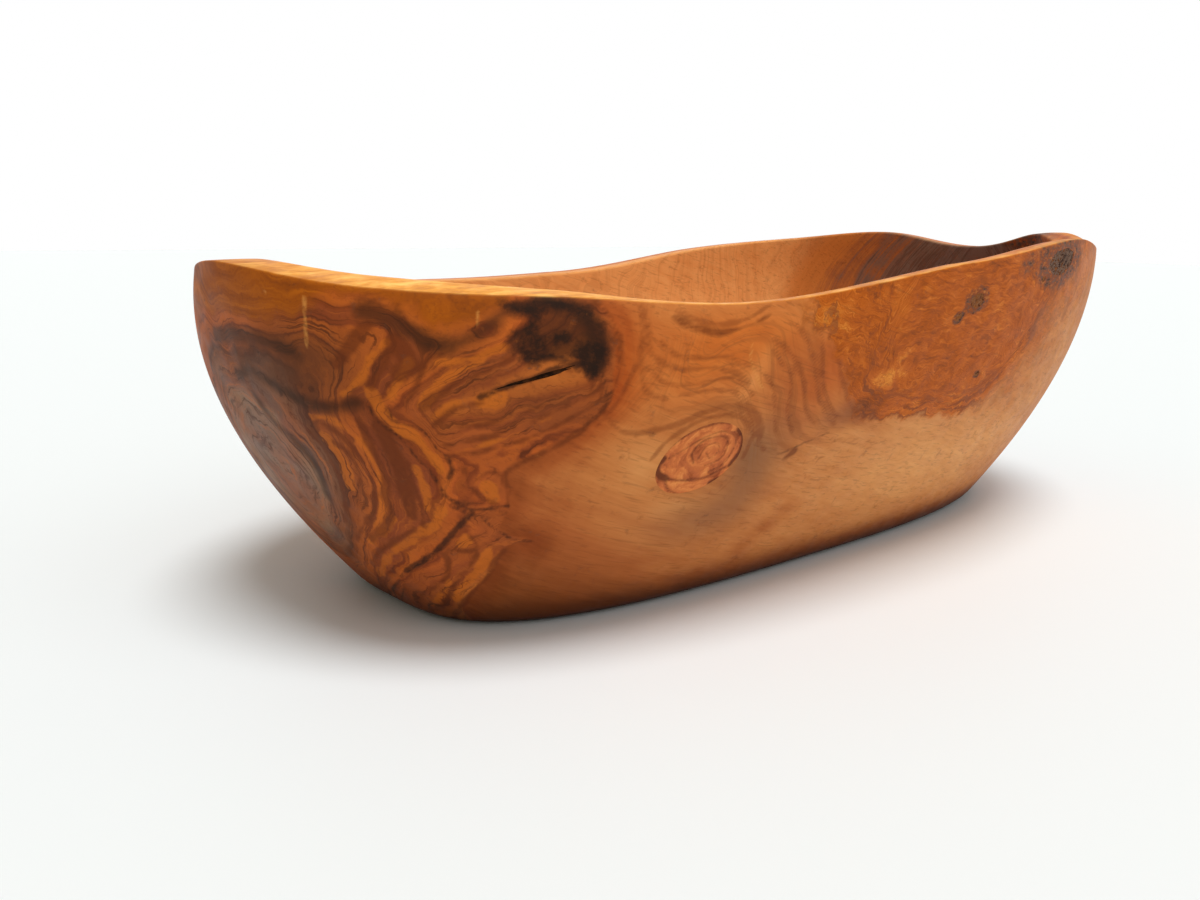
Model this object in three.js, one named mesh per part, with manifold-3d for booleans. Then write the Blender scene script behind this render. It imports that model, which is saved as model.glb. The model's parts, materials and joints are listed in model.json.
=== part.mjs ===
// A fruit bowl carved from one block of figured wood, in millimetres, +Z up.
// The origin is the middle of the flat base, on the surface that the bowl stands on.
// +X runs along the length to the fuller end, called right, and -Y faces the near side, with the knot.
// Angles around the bowl are in degrees, from +X towards +Y, the far side.
import * as THREE from 'three';
import { mergeVertices } from 'three/addons/utils/BufferGeometryUtils.js';
import Module from 'manifold-3d';

// Outside of the wall, from the upright axis: where it would end at its full height, and at the base
const rimReachRight = 160;
const rimReachLeft = 160;
const rimReachNear = 87;
const rimReachFar = 87;
const baseReachRight = 128;
const baseReachLeft = 117;
const baseReachNear = 45;
const baseReachFar = 43;

// How soon the wall turns upright: 1 is a straight slope, and more is a fuller curve
const bulgeRight = 2.2;
const bulgeLeft = 1.95;
const bulgeNear = 1.65;
const bulgeFar = 2.35;

// Roundness of the plan: 2 is an ellipse, and more is squarer at the corners
const cornerRimRight = 2.3;
const cornerRimLeft = 1.65;
const cornerBaseRight = 2.7;
const cornerBaseLeft = 3.4;
// How long the corners keep the base's roundness on the way up
const cornerHold = 2.5;

// The carved rim waves up and down: its height at evenly spaced places, from the right end round the far side
const rimHeights = [
  89, 94, 91, 86.5, // right end to far right
  78, 77, 79.5, 83, // far middle to far left
  87.5, 85, 82.5, 80, // left end to near left
  87.5, 93.5, 90, 95, // near middle to near right
];
// The wall would stand upright this far above the rim's highest place
const uprightMargin = 0.5;

// Hollow of the bowl
const wall = 11;
const floorThickness = 12;
const hollowRadius = 34;
// Half of the least flat left across the hollow's floor
const leastFloorReach = 4;
// The rim's top slopes down to its outer edge by this much
const rimBevel = 1.5;

// Inlays in the near wall, each the natural thing that fills its own socket.
// along is the size in the direction of lean, measured up from level, and across is square to it.
const sideKnot = { angle: 249, belowRim: 36, along: 26, across: 20.5, lean: 15 };
const barkSeam = { angle: 226, belowRim: 16.4, along: 21, across: 2.4, lean: 15 };
const cornerBarkEye = { angle: 287.5, belowRim: 5.4, along: 22, across: 6.5, lean: 5 };
const upperBarkEye = { angle: 272, belowRim: 10.3, along: 7, across: 4.5, lean: 0 };
const pinKnotHigh = { angle: 283, belowRim: 9.2, along: 2.6, across: 1.6, lean: 15 };
const pinKnotMiddle = { angle: 270.5, belowRim: 14, along: 3, across: 2.2, lean: 15 };
const pinKnotLow = { angle: 275.7, belowRim: 33, along: 2.6, across: 1.8, lean: -15 };
const inlayClearance = 0.3;
// Wood left in the wall behind each inlay
const inlayBack = 5;
// Share of an inlay's size that is left at its inner end
const inlayTaper = 0.8;

// Fineness of the carved surfaces
const stations = 72;
const outerRings = 16;
const innerRings = 15;
const inlaySides = 28;
// Step along the wall that gives its direction, in degrees around and in millimetres up
const tangentStep = 0.5;
// Points nearer than this are one point
const weldDistance = 1e-4;

const rad = THREE.MathUtils.degToRad;

// Height of the rim at an angle, on a smooth closed curve through the heights
function rimHeightAt(angle) {
  const count = rimHeights.length;
  const place = (THREE.MathUtils.euclideanModulo(angle, 360) / 360) * count;
  const step = Math.floor(place);
  const pick = (offset) => rimHeights[(step + offset + count) % count];
  const u = place - step;
  const slopeHere = (pick(1) - pick(-1)) / 2;
  const slopeNext = (pick(2) - pick(0)) / 2;
  const rise = pick(1) - pick(0);
  return pick(0) + u * (slopeHere + u * (3 * rise - 2 * slopeHere - slopeNext
    + u * (slopeHere + slopeNext - 2 * rise)));
}

const stationAngles = Array.from({ length: stations }, (_, i) => (i * 360) / stations);
const uprightHeight = Math.max(...stationAngles.map(rimHeightAt)) + uprightMargin;

// A point of the wall's outside at an angle and height, drawn in level by an inset
function wallPoint(angle, height, inset = 0) {
  const c = Math.cos(rad(angle));
  const s = Math.sin(rad(angle));
  const right = c > 0;
  const far = s > 0;
  const up = height / uprightHeight;
  const spread = (base, rim, bulge) => base + (rim - base) * (1 - (1 - up) ** bulge);
  const length = right
    ? spread(baseReachRight, rimReachRight, bulgeRight)
    : spread(baseReachLeft, rimReachLeft, bulgeLeft);
  const width = far
    ? spread(baseReachFar, rimReachFar, bulgeFar)
    : spread(baseReachNear, rimReachNear, bulgeNear);
  const cornerBase = right ? cornerBaseRight : cornerBaseLeft;
  const cornerRim = right ? cornerRimRight : cornerRimLeft;
  const power = 2 / (cornerBase + (cornerRim - cornerBase) * up ** cornerHold);
  return new THREE.Vector3(
    (length - inset) * Math.sign(c) * Math.abs(c) ** power,
    (width - inset) * Math.sign(s) * Math.abs(s) ** power,
    height,
  );
}

// The hollow's wall runs into its floor by a quarter round, as wide as the floor leaves room for
const floorReach = Math.min(
  wallPoint(90, floorThickness).y,
  -wallPoint(270, floorThickness).y,
);
const floorRound = Math.min(hollowRadius, floorReach - wall - leastFloorReach);

function hollowInset(height) {
  const below = THREE.MathUtils.clamp(floorRound - (height - floorThickness), 0, floorRound);
  return wall + floorRound - Math.sqrt(floorRound ** 2 - below ** 2);
}

// Rings of points from the base's edge up the outside, over the rim and down the hollow
function carvedRings() {
  const rings = [];
  for (let i = 0; i <= outerRings; i += 1) {
    rings.push(stationAngles.map((angle) => {
      const outerEdge = rimHeightAt(angle) - rimBevel;
      return wallPoint(angle, (outerEdge * i) / outerRings);
    }));
  }
  for (let i = 0; i <= innerRings; i += 1) {
    // Rings crowd together towards the floor, where the hollow turns
    const drop = Math.sin((Math.PI / 2) * (i / innerRings));
    rings.push(stationAngles.map((angle) => {
      const rim = rimHeightAt(angle);
      const height = rim + (floorThickness - rim) * drop;
      return wallPoint(angle, height, hollowInset(height));
    }));
  }
  return rings;
}

// One closed skin: rings joined by quads, with a fan over the base and one over the hollow's floor
function carvedGeometry() {
  const rings = carvedRings();
  const positions = rings.flat().flatMap((p) => p.toArray());
  const baseCentre = positions.length / 3;
  positions.push(0, 0, 0);
  const floorCentre = baseCentre + 1;
  positions.push(0, 0, floorThickness);
  const index = [];
  const at = (ring, station) => ring * stations + (station % stations);
  for (let j = 0; j < stations; j += 1) {
    index.push(baseCentre, at(0, j + 1), at(0, j));
    for (let i = 0; i < rings.length - 1; i += 1) {
      index.push(at(i, j), at(i, j + 1), at(i + 1, j + 1));
      index.push(at(i, j), at(i + 1, j + 1), at(i + 1, j));
    }
    const last = rings.length - 1;
    index.push(floorCentre, at(last, j), at(last, j + 1));
  }
  const geometry = new THREE.BufferGeometry();
  geometry.setAttribute('position', new THREE.Float32BufferAttribute(positions, 3));
  geometry.setIndex(index);
  return geometry;
}

// A tapered oval plug square to the wall at an inlay's place, grown by a clearance all round
function plugGeometry(inlay, clearance) {
  const innerEnd = -(wall - inlayBack) - clearance;
  const outerEnd = Math.max(inlay.along, inlay.across);
  const profile = [
    new THREE.Vector2(0, innerEnd),
    new THREE.Vector2(inlayTaper, innerEnd),
    new THREE.Vector2(1, 0),
    new THREE.Vector2(1, outerEnd),
    new THREE.Vector2(0, outerEnd),
  ];
  const geometry = new THREE.LatheGeometry(profile, inlaySides);
  geometry.rotateX(Math.PI / 2);
  geometry.scale(inlay.along / 2 + clearance, inlay.across / 2 + clearance, 1);
  geometry.rotateZ(rad(inlay.lean));
  const height = rimHeightAt(inlay.angle) - inlay.belowRim;
  const here = wallPoint(inlay.angle, height);
  const level = wallPoint(inlay.angle + tangentStep, height).sub(here).normalize();
  const uphill = here.clone().sub(wallPoint(inlay.angle, height - tangentStep)).normalize();
  const outward = level.clone().cross(uphill).normalize();
  const upright = outward.clone().cross(level);
  geometry.applyMatrix4(new THREE.Matrix4().makeBasis(level, upright, outward).setPosition(here));
  return geometry;
}

const wasm = await Module();
wasm.setup();

function toSolid(geometry) {
  const bare = geometry.clone();
  bare.deleteAttribute('normal');
  bare.deleteAttribute('uv');
  const merged = mergeVertices(bare, weldDistance);
  // Triangles that shrink to a line at a lathe's axis are left out
  const corners = merged.index.array;
  const triVerts = [];
  for (let i = 0; i < corners.length; i += 3) {
    const [a, b, c] = corners.slice(i, i + 3);
    if (a !== b && b !== c && c !== a) triVerts.push(a, b, c);
  }
  return new wasm.Manifold(new wasm.Mesh({
    numProp: 3,
    vertProperties: new Float32Array(merged.attributes.position.array),
    triVerts: new Uint32Array(triVerts),
  }));
}

function toMesh(name, solid, material) {
  const { vertProperties, triVerts } = solid.getMesh();
  const geometry = new THREE.BufferGeometry();
  geometry.setAttribute('position', new THREE.BufferAttribute(vertProperties, 3));
  geometry.setIndex(new THREE.BufferAttribute(triVerts, 1));
  geometry.computeVertexNormals();
  const mesh = new THREE.Mesh(geometry, material);
  mesh.name = name;
  return mesh;
}

const oiledWood = new THREE.MeshStandardMaterial({ color: 0xa8622f, roughness: 0.42, metalness: 0 });
const knotWood = new THREE.MeshStandardMaterial({ color: 0xb0622f, roughness: 0.45, metalness: 0 });
const bark = new THREE.MeshStandardMaterial({ color: 0x4a3022, roughness: 0.8, metalness: 0 });

const inlays = [
  { name: 'side_knot', place: sideKnot, material: knotWood },
  { name: 'bark_seam', place: barkSeam, material: bark },
  { name: 'corner_bark_eye', place: cornerBarkEye, material: bark },
  { name: 'upper_bark_eye', place: upperBarkEye, material: bark },
  { name: 'pin_knot_high', place: pinKnotHigh, material: bark },
  { name: 'pin_knot_middle', place: pinKnotMiddle, material: bark },
  { name: 'pin_knot_low', place: pinKnotLow, material: bark },
];

const bowl = new THREE.Group();
const carved = toSolid(carvedGeometry());

// Each inlay is the part of its plug inside the wall, so its face is flush with the carved surface
let body = carved;
for (const { name, place, material } of inlays) {
  bowl.add(toMesh(name, carved.intersect(toSolid(plugGeometry(place, 0))), material));
  body = body.subtract(toSolid(plugGeometry(place, inlayClearance)));
}
bowl.add(toMesh('bowl_body', body, oiledWood));

export default bowl;
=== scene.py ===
# %% [markdown]
# A fruit bowl carved from one thick piece of figured wood, sanded smooth and rubbed with oil. The solid
# model already has the bowl at its real size, so this lesson only dresses it: the same forms again with
# finer edges, and the figure of the wood drawn over them. Loading the frame first keeps every new piece
# in the same place.

import json

import bpy
import numpy as np
from mathutils import Matrix

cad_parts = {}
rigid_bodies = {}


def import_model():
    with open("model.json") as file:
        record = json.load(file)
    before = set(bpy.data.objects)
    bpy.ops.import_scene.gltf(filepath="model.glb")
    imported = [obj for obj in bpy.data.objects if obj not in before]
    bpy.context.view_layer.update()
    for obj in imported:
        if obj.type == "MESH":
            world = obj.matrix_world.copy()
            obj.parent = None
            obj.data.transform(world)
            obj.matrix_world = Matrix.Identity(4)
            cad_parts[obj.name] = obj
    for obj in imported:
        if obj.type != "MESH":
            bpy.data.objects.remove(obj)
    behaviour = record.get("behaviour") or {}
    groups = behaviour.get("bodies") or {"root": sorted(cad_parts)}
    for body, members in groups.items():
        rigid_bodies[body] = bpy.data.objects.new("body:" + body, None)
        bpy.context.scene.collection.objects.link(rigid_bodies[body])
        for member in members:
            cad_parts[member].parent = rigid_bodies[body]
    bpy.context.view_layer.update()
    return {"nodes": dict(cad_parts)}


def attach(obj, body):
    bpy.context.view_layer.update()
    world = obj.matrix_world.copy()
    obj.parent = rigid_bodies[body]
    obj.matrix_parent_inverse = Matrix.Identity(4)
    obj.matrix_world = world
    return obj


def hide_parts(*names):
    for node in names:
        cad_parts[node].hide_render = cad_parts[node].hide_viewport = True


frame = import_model()
print("solid nodes:", sorted(frame["nodes"]))

# %% [markdown]
# The carver's shape is a rounded boat: the plan is a squarish oval that widens from the base to the rim,
# and the rim waves up and down. It could be sculpted by hand, but the same few measures as the solid
# model's give exactly its wall. Everything is worked out in millimetres, and turned into metres when a
# mesh is made.

# %% Measures of the bowl
MILLIMETRE = 0.001
# For each side: reach of the wall at the rim, at the base, and how soon it turns upright
SIDES = {
    "right": (160, 128, 2.2),
    "left": (160, 117, 1.95),
    "near": (87, 45, 1.65),
    "far": (87, 43, 2.35),
}
# Roundness of the plan at the base and at the rim
CORNERS = {"right": (2.7, 2.3), "left": (3.4, 1.65)}
CORNER_HOLD = 2.5
RIM_HEIGHTS = np.array(
    [89, 94, 91, 86.5, 78, 77, 79.5, 83, 87.5, 85, 82.5, 80, 87.5, 93.5, 90, 95]
)
UPRIGHT_MARGIN = 0.5
WALL = 11.0
FLOOR = 12.0
HOLLOW_ROUND = 34.0


def rim_height(angle):
    """Height of the rim at an angle, on a smooth closed curve through the measured heights."""
    count = len(RIM_HEIGHTS)
    place = (np.asarray(angle, float) % 360) / 360 * count
    step = np.floor(place).astype(int)
    t = place - step
    before, here, after, beyond = (RIM_HEIGHTS[(step + k) % count] for k in (-1, 0, 1, 2))
    slope_here = (after - before) / 2
    slope_after = (beyond - here) / 2
    rise = after - here
    bend = 3 * rise - 2 * slope_here - slope_after
    return here + t * (slope_here + t * (bend + t * (slope_here + slope_after - 2 * rise)))


HIGHEST = rim_height(np.arange(0, 360, 5)).max()
UPRIGHT_HEIGHT = HIGHEST + UPRIGHT_MARGIN
print("highest place of the rim:", round(HIGHEST, 1), "mm")

# %% [markdown]
# The wall leans out from the base and turns upright towards the rim, and its corners change their
# roundness on the way up. One formula gives any point of it from an angle and a height, so the same
# function serves the outside, the hollow and the inlays.


# %% Wall of the bowl
def reach(side, up):
    rim, base, bulge = SIDES[side]
    return base + (rim - base) * (1 - (1 - up) ** bulge)


def plan_at(right, far, height):
    """Half length, half width and roundness of the wall's plan at a height."""
    up = np.clip(np.asarray(height, float) / UPRIGHT_HEIGHT, 0, 1)
    length = np.where(right, reach("right", up), reach("left", up))
    width = np.where(far, reach("far", up), reach("near", up))
    rounder = up**CORNER_HOLD
    base_corner = np.where(right, CORNERS["right"][0], CORNERS["left"][0])
    rim_corner = np.where(right, CORNERS["right"][1], CORNERS["left"][1])
    return length, width, base_corner + (rim_corner - base_corner) * rounder


def wall_point(angle, height, inset=0.0):
    """Point of the wall's outside at an angle and a height, drawn in level by an inset."""
    turn = np.radians(angle)
    c = np.cos(turn)
    s = np.sin(turn)
    length, width, corner = plan_at(c > 0, s > 0, height)
    x = (length - inset) * np.sign(c) * np.abs(c) ** (2 / corner)
    y = (width - inset) * np.sign(s) * np.abs(s) ** (2 / corner)
    return np.stack(np.broadcast_arrays(x, y, np.asarray(height, float)), -1)


def hollow_inset(height):
    """How far the hollow's wall stands in from the outside at a height."""
    below = np.clip(HOLLOW_ROUND - (height - FLOOR), 0, HOLLOW_ROUND)
    return WALL + HOLLOW_ROUND - np.sqrt(HOLLOW_ROUND**2 - below**2)


print("right end at the rim:", wall_point(0, rim_height(0)).round(1).tolist(), "mm")

# %% [markdown]
# The wood's figure is drawn on the wall as on an unrolled strip: "along" is the level way round the wall
# in millimetres, with 0 in the middle of the near side and minus to the left, and the other measure is
# the height. The stations round the bowl stand closest at the near left, where the figure is richest, and
# wider on the far side, because the figure is kept on the mesh's points.

# %% Way round the wall
WAY_HEIGHT = 55.0
# Space between stations at some places along the way
SPACING_PLACES = [-230, -205, -100, -90, 20, 40, 120, 160]
SPACINGS = [2.8, 0.8, 0.8, 0.9, 0.9, 1.4, 1.4, 2.8]
# The way starts and ends in the middle of the far side
way_angles = np.arange(90, 450.01, 0.05)
way_steps = np.linalg.norm(np.diff(wall_point(way_angles, WAY_HEIGHT), axis=0), axis=1)
way_lengths = np.concatenate([[0], np.cumsum(way_steps)])
way_lengths -= np.interp(270, way_angles, way_lengths)


def along_at(angle):
    return np.interp((np.asarray(angle) - 90) % 360 + 90, way_angles, way_lengths)


spacing = np.interp(way_lengths, SPACING_PLACES, SPACINGS)
station_count = np.concatenate([[0], np.cumsum(way_steps / spacing[1:])])
stations = np.interp(
    np.linspace(0, station_count[-1], int(station_count[-1]), endpoint=False),
    station_count,
    way_angles,
)
print("way round:", round(way_lengths[-1] - way_lengths[0]), "mm in", len(stations), "stations")

# %% [markdown]
# The body is one skin of rings: out across the flat base, round its edge, up the wall, over the rim and
# down the hollow. A subdivided box would lose the waving rim, so the rings are placed one by one. The
# rim's top slopes down to its outer edge at the near left and to the hollow along the near right. Both of
# its edges are rounded as sandpaper leaves them, so that they catch the light.

# %% Edges of the base and the rim
BASE_EDGE = 3.0
OUTER_EDGE = 0.4
INNER_EDGE = 0.9
# The rounded rim stands this much above the measured heights
CREST = 0.3


def chamfer(angle):
    """How far the rim's top slopes down to its outer edge, most at the near left."""
    return 0.15 + 1.35 * np.exp(-(((angle - 208) / 20) ** 2))


def rim_fall(angle):
    """How far the rim's top slopes down to the hollow, most along the near side's right half."""
    from_middle = ((np.asarray(angle) - 90) % 360 - 197) / 48
    return 0.1 + 2.1 * np.exp(-(from_middle**4))


print("slope of the rim at the near left:", chamfer(208).round(2), "mm")

# %% Rings of the carved skin
# Rings of the base and the floor, as shares of their outlines
BASE_SHARES = (0.06, 0.2, 0.4, 0.6, 0.8, 0.93)
FLOOR_SHARES = (0.85, 0.65, 0.4, 0.15)
# Turns of the rounded edges
BASE_TURNS = np.radians(np.linspace(0, 90, 6))
EDGE_TURNS = np.radians([18, 36, 54, 72, 90])
WALL_RINGS = 104
TOP_RINGS = 8
HOLLOW_RINGS = 34


def carved_rings(angles):
    """Rings from the middle of the base, over the rim, to the middle of the floor."""
    rim = rim_height(angles) + CREST
    drop = chamfer(angles)
    fall = rim_fall(angles)
    base_outline = wall_point(angles, 0.0 * angles, BASE_EDGE)
    rings = [base_outline * share for share in BASE_SHARES]
    for turn in BASE_TURNS:
        height = BASE_EDGE * (1 - np.cos(turn)) + 0 * angles
        rings.append(wall_point(angles, height, BASE_EDGE * (1 - np.sin(turn))))
    outer_edge = rim - drop - OUTER_EDGE
    for share in np.linspace(0, 1, WALL_RINGS + 1)[1:]:
        rings.append(wall_point(angles, BASE_EDGE + (outer_edge - BASE_EDGE) * share))
    for turn in EDGE_TURNS:
        height = outer_edge + OUTER_EDGE * np.sin(turn)
        rings.append(wall_point(angles, height, OUTER_EDGE * (1 - np.cos(turn))))
    flat = WALL - OUTER_EDGE - INNER_EDGE
    for share in np.linspace(0, 1, TOP_RINGS + 1)[1:]:
        height = rim - drop * (1 - share) ** 1.5 - fall * share**2
        rings.append(wall_point(angles, height, OUTER_EDGE + flat * share))
    for turn in EDGE_TURNS:
        height = rim - fall - INNER_EDGE * (1 - np.cos(turn))
        rings.append(wall_point(angles, height, WALL - INNER_EDGE * (1 - np.sin(turn))))
    top = rim - fall - INNER_EDGE
    for share in np.linspace(0, 1, HOLLOW_RINGS + 1)[1:]:
        height = top + (FLOOR - top) * np.sin(np.pi / 2 * share)
        rings.append(wall_point(angles, height, hollow_inset(height)))
    floor_outline = rings[-1]
    for share in FLOOR_SHARES:
        rings.append(floor_outline * [share, share, 1])
    return rings


rings = carved_rings(stations)
print("carved skin:", len(rings), "rings")


# %% Skin to mesh
def new_piece(name, points, faces):
    """A mesh object from points in millimetres."""
    mesh = bpy.data.meshes.new(name)
    mesh.from_pydata((np.asarray(points) * MILLIMETRE).tolist(), [], faces)
    mesh.validate()
    piece = bpy.data.objects.new(name, mesh)
    bpy.context.scene.collection.objects.link(piece)
    return piece


def ring_faces(ring_count, around, first_centre, last_centre):
    """Quads between rings, with a fan to a centre point at each end."""
    faces = []
    last = (ring_count - 1) * around
    for j in range(around):
        k = (j + 1) % around
        faces.append((first_centre, k, j))
        for low in range(0, last, around):
            high = low + around
            faces.append((low + j, low + k, high + k, high + j))
        faces.append((last_centre, last + j, last + k))
    return faces


skin_points = np.concatenate(rings + [[[0, 0, 0], [0, 0, FLOOR]]])
skin_size = len(skin_points)
skin_faces = ring_faces(len(rings), len(stations), skin_size - 2, skin_size - 1)
body = new_piece("carved_bowl_body", skin_points, skin_faces)
print("carved body:", len(body.data.polygons), "faces")

# %% [markdown]
# Seven natural things sit in the near wall: a side knot, a bark seam, two bark eyes and three pin knots.
# In the tree the wood grew round them, so each fills a socket of its own. A flat decal would not catch
# light at its edge, so each is a tapered plug whose face follows the wall, with an outline a little less
# regular than an oval.

# %% Places of the inlays
# Angle round the bowl, depth below the rim, size along the lean and across it, lean up from level,
# and how far the outline wobbles
INLAYS = {
    "side_knot": (249, 36, 26, 20.5, 15, 0.02),
    "bark_seam": (226, 16.4, 21, 0.95, 15, 0.45),
    "corner_bark_eye": (287.5, 5.6, 22, 8.5, 5, 0.12),
    "upper_bark_eye": (272, 10.3, 7, 4.5, 0, 0.1),
    "pin_knot_high": (283, 9.2, 2.6, 1.6, 15, 0.08),
    "pin_knot_middle": (270.5, 14, 3, 2.2, 15, 0.08),
    "pin_knot_low": (275.7, 33, 2.6, 1.8, -15, 0.08),
}
print("inlays to make:", len(INLAYS))

# %% Directions on the wall
# Short step along the wall that gives its direction, in degrees and in millimetres
TANGENT_STEP = 0.5
# Farthest that a point slides to reach the wall, and how often the way is halved
SLIDE = 9.0
HALVINGS = 40


def unit(vector):
    return vector / np.linalg.norm(vector)


def inlay_axes(angle, below_rim):
    """The wall's point at an inlay, and its level, upright and outward directions."""
    height = float(rim_height(angle)) - below_rim
    here = wall_point(angle, height)
    level = unit(wall_point(angle + TANGENT_STEP, height) - here)
    uphill = unit(here - wall_point(angle, height - TANGENT_STEP))
    outward = unit(np.cross(level, uphill))
    return here, level, np.cross(outward, level), outward


def depth_in_wall(points):
    """How far a point's plan lies inside the wall's: above 0 inside, 0 on the wall."""
    x, y, z = points[..., 0], points[..., 1], points[..., 2]
    length, width, corner = plan_at(x > 0, y > 0, z)
    return 1 - ((np.abs(x) / length) ** corner + (np.abs(y) / width) ** corner) ** (1 / corner)


def onto_wall(points, outward):
    """Slide points along the outward direction until they lie on the wall, by halving the way."""
    low = np.full(points.shape[:-1], -SLIDE)
    high = np.full(points.shape[:-1], SLIDE)
    for _ in range(HALVINGS):
        middle = (low + high) / 2
        inside = depth_in_wall(points + middle[..., None] * outward) > 0
        low = np.where(inside, middle, low)
        high = np.where(inside, high, middle)
    return points + low[..., None] * outward


print("the knot's place:", inlay_axes(*INLAYS["side_knot"][:2])[0].round(1).tolist(), "mm")

# %% Inlay outlines
PLUG_DEPTH = 6.0
PLUG_TAPER = 0.8


def full_turn(sides):
    return np.linspace(0, 2 * np.pi, sides, endpoint=False)


def oval(name, turns, share, grow=0.0):
    """Points of an inlay's outline in its own plane, at a share of its size."""
    _, _, along, across, lean, wobble = INLAYS[name]
    ripple = 1 - wobble * (0.5 + 0.3 * np.sin(3 * turns + along) + 0.2 * np.sin(7 * turns + across))
    a = (along / 2 * ripple * share + grow) * np.cos(turns)
    b = (across / 2 * ripple * share + grow) * np.sin(turns)
    tilt = np.radians(lean)
    return a * np.cos(tilt) - b * np.sin(tilt), a * np.sin(tilt) + b * np.cos(tilt)


def plug_rings(name, turns, face_shares, face_shape, grow=0.0, top=None):
    """Rings of a plug from its face's middle out, down its tapered side to the inner end."""
    angle, below_rim = INLAYS[name][:2]
    here, level, upright, outward = inlay_axes(angle, below_rim)

    def laid(share, lift, on_wall):
        a, b = oval(name, turns, share, grow)
        points = here + a[:, None] * level + b[:, None] * upright
        if on_wall:
            points = onto_wall(points, outward)
        return points + np.asarray(lift)[..., None] * outward

    if top is None:
        rings = [laid(share, face_shape(share, turns), True) for share in face_shares]
    else:
        rings = [laid(share, top, False) for share in face_shares]
    rings.append(laid((1 + PLUG_TAPER) / 2, -PLUG_DEPTH / 2 - grow, True))
    rings.append(laid(PLUG_TAPER, -PLUG_DEPTH - grow, True))
    rings.append(laid(PLUG_TAPER / 2, -PLUG_DEPTH - grow, True))
    return rings


def plug_piece(name, rings):
    first = rings[0].mean(axis=0)
    last = rings[-1].mean(axis=0)
    points = np.concatenate(rings + [[first, last]])
    faces = ring_faces(len(rings), len(rings[0]), len(points) - 2, len(points) - 1)
    return new_piece(name, points, [tuple(reversed(face)) for face in faces])


print("plugs reach", PLUG_DEPTH, "mm into the wall")

# %% [markdown]
# A socket is a hole a little larger than its inlay. It could be left out, because the inlay covers it,
# but then the two surfaces would lie in each other and flicker. One boolean takes all seven cutters out
# of the body, and its result becomes the body's own mesh, so that no modifier is left.

# %% Cut the sockets
SOCKET_GAP = 0.12
CUTTER_SIDES = 56
CUTTER_TOP = 14.0
cutters = []
for name in INLAYS:
    cutter_rings = plug_rings(name, full_turn(CUTTER_SIDES), (0.5, 1), None, SOCKET_GAP, CUTTER_TOP)
    cutters.append(plug_piece(name + "_cutter", cutter_rings))
with bpy.context.temp_override(active_object=cutters[0], selected_editable_objects=cutters):
    bpy.ops.object.join()
socket_cutter = cutters[0]
cut = body.modifiers.new("sockets", "BOOLEAN")
cut.operation = "DIFFERENCE"
cut.solver = "MANIFOLD"
cut.object = socket_cutter
bpy.context.view_layer.update()
cut_body = body.evaluated_get(bpy.context.evaluated_depsgraph_get())
cut_mesh = bpy.data.meshes.new_from_object(cut_body)
body.modifiers.clear()
body.data = cut_mesh
body.data.name = body.name
bpy.data.objects.remove(socket_cutter)
print("body with its sockets:", len(body.data.polygons), "faces")

# %% [markdown]
# The knot was sanded with the wall, so its face is nearly flush. Bark is softer than wood and wears away,
# so the bark pieces lie lower and are broken up by ridges. The ridges are sums of sines, because they are
# the same each run and follow the piece's own rings.


# %% Make the inlays
def sunk(depth, rough):
    """A face that lies below the wall by a depth and is broken up by ridges."""

    def shape(share, turns):
        ridges = np.sin(9 * share + 3 * turns) + np.sin(5 * turns - 7 * share)
        ridges = ridges + np.sin(23 * share + 11 * turns)
        fade = np.clip((1 - share) * 5, 0, 1)
        return -depth * (0.3 + 0.7 * fade) + rough * fade * ridges / 3

    return shape


# Points around, rings from the middle to the edge, and the face's shape
FACES = {
    "side_knot": (64, 26, sunk(0.05, 0.0)),
    "bark_seam": (64, 12, sunk(0.12, 0.05)),
    "corner_bark_eye": (96, 24, sunk(0.25, 0.25)),
    "upper_bark_eye": (64, 16, sunk(0.15, 0.1)),
    "pin_knot_high": (40, 8, sunk(0.1, 0.03)),
    "pin_knot_middle": (40, 8, sunk(0.1, 0.03)),
    "pin_knot_low": (40, 8, sunk(0.1, 0.03)),
}
inlays = {}
for name, (around, ring_count, shape) in FACES.items():
    shares = np.linspace(0, 1, ring_count + 1)[1:]
    inlays[name] = plug_piece(name + "_inlay", plug_rings(name, full_turn(around), shares, shape))
print("inlays:", {name: len(piece.data.polygons) for name, piece in inlays.items()})
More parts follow.
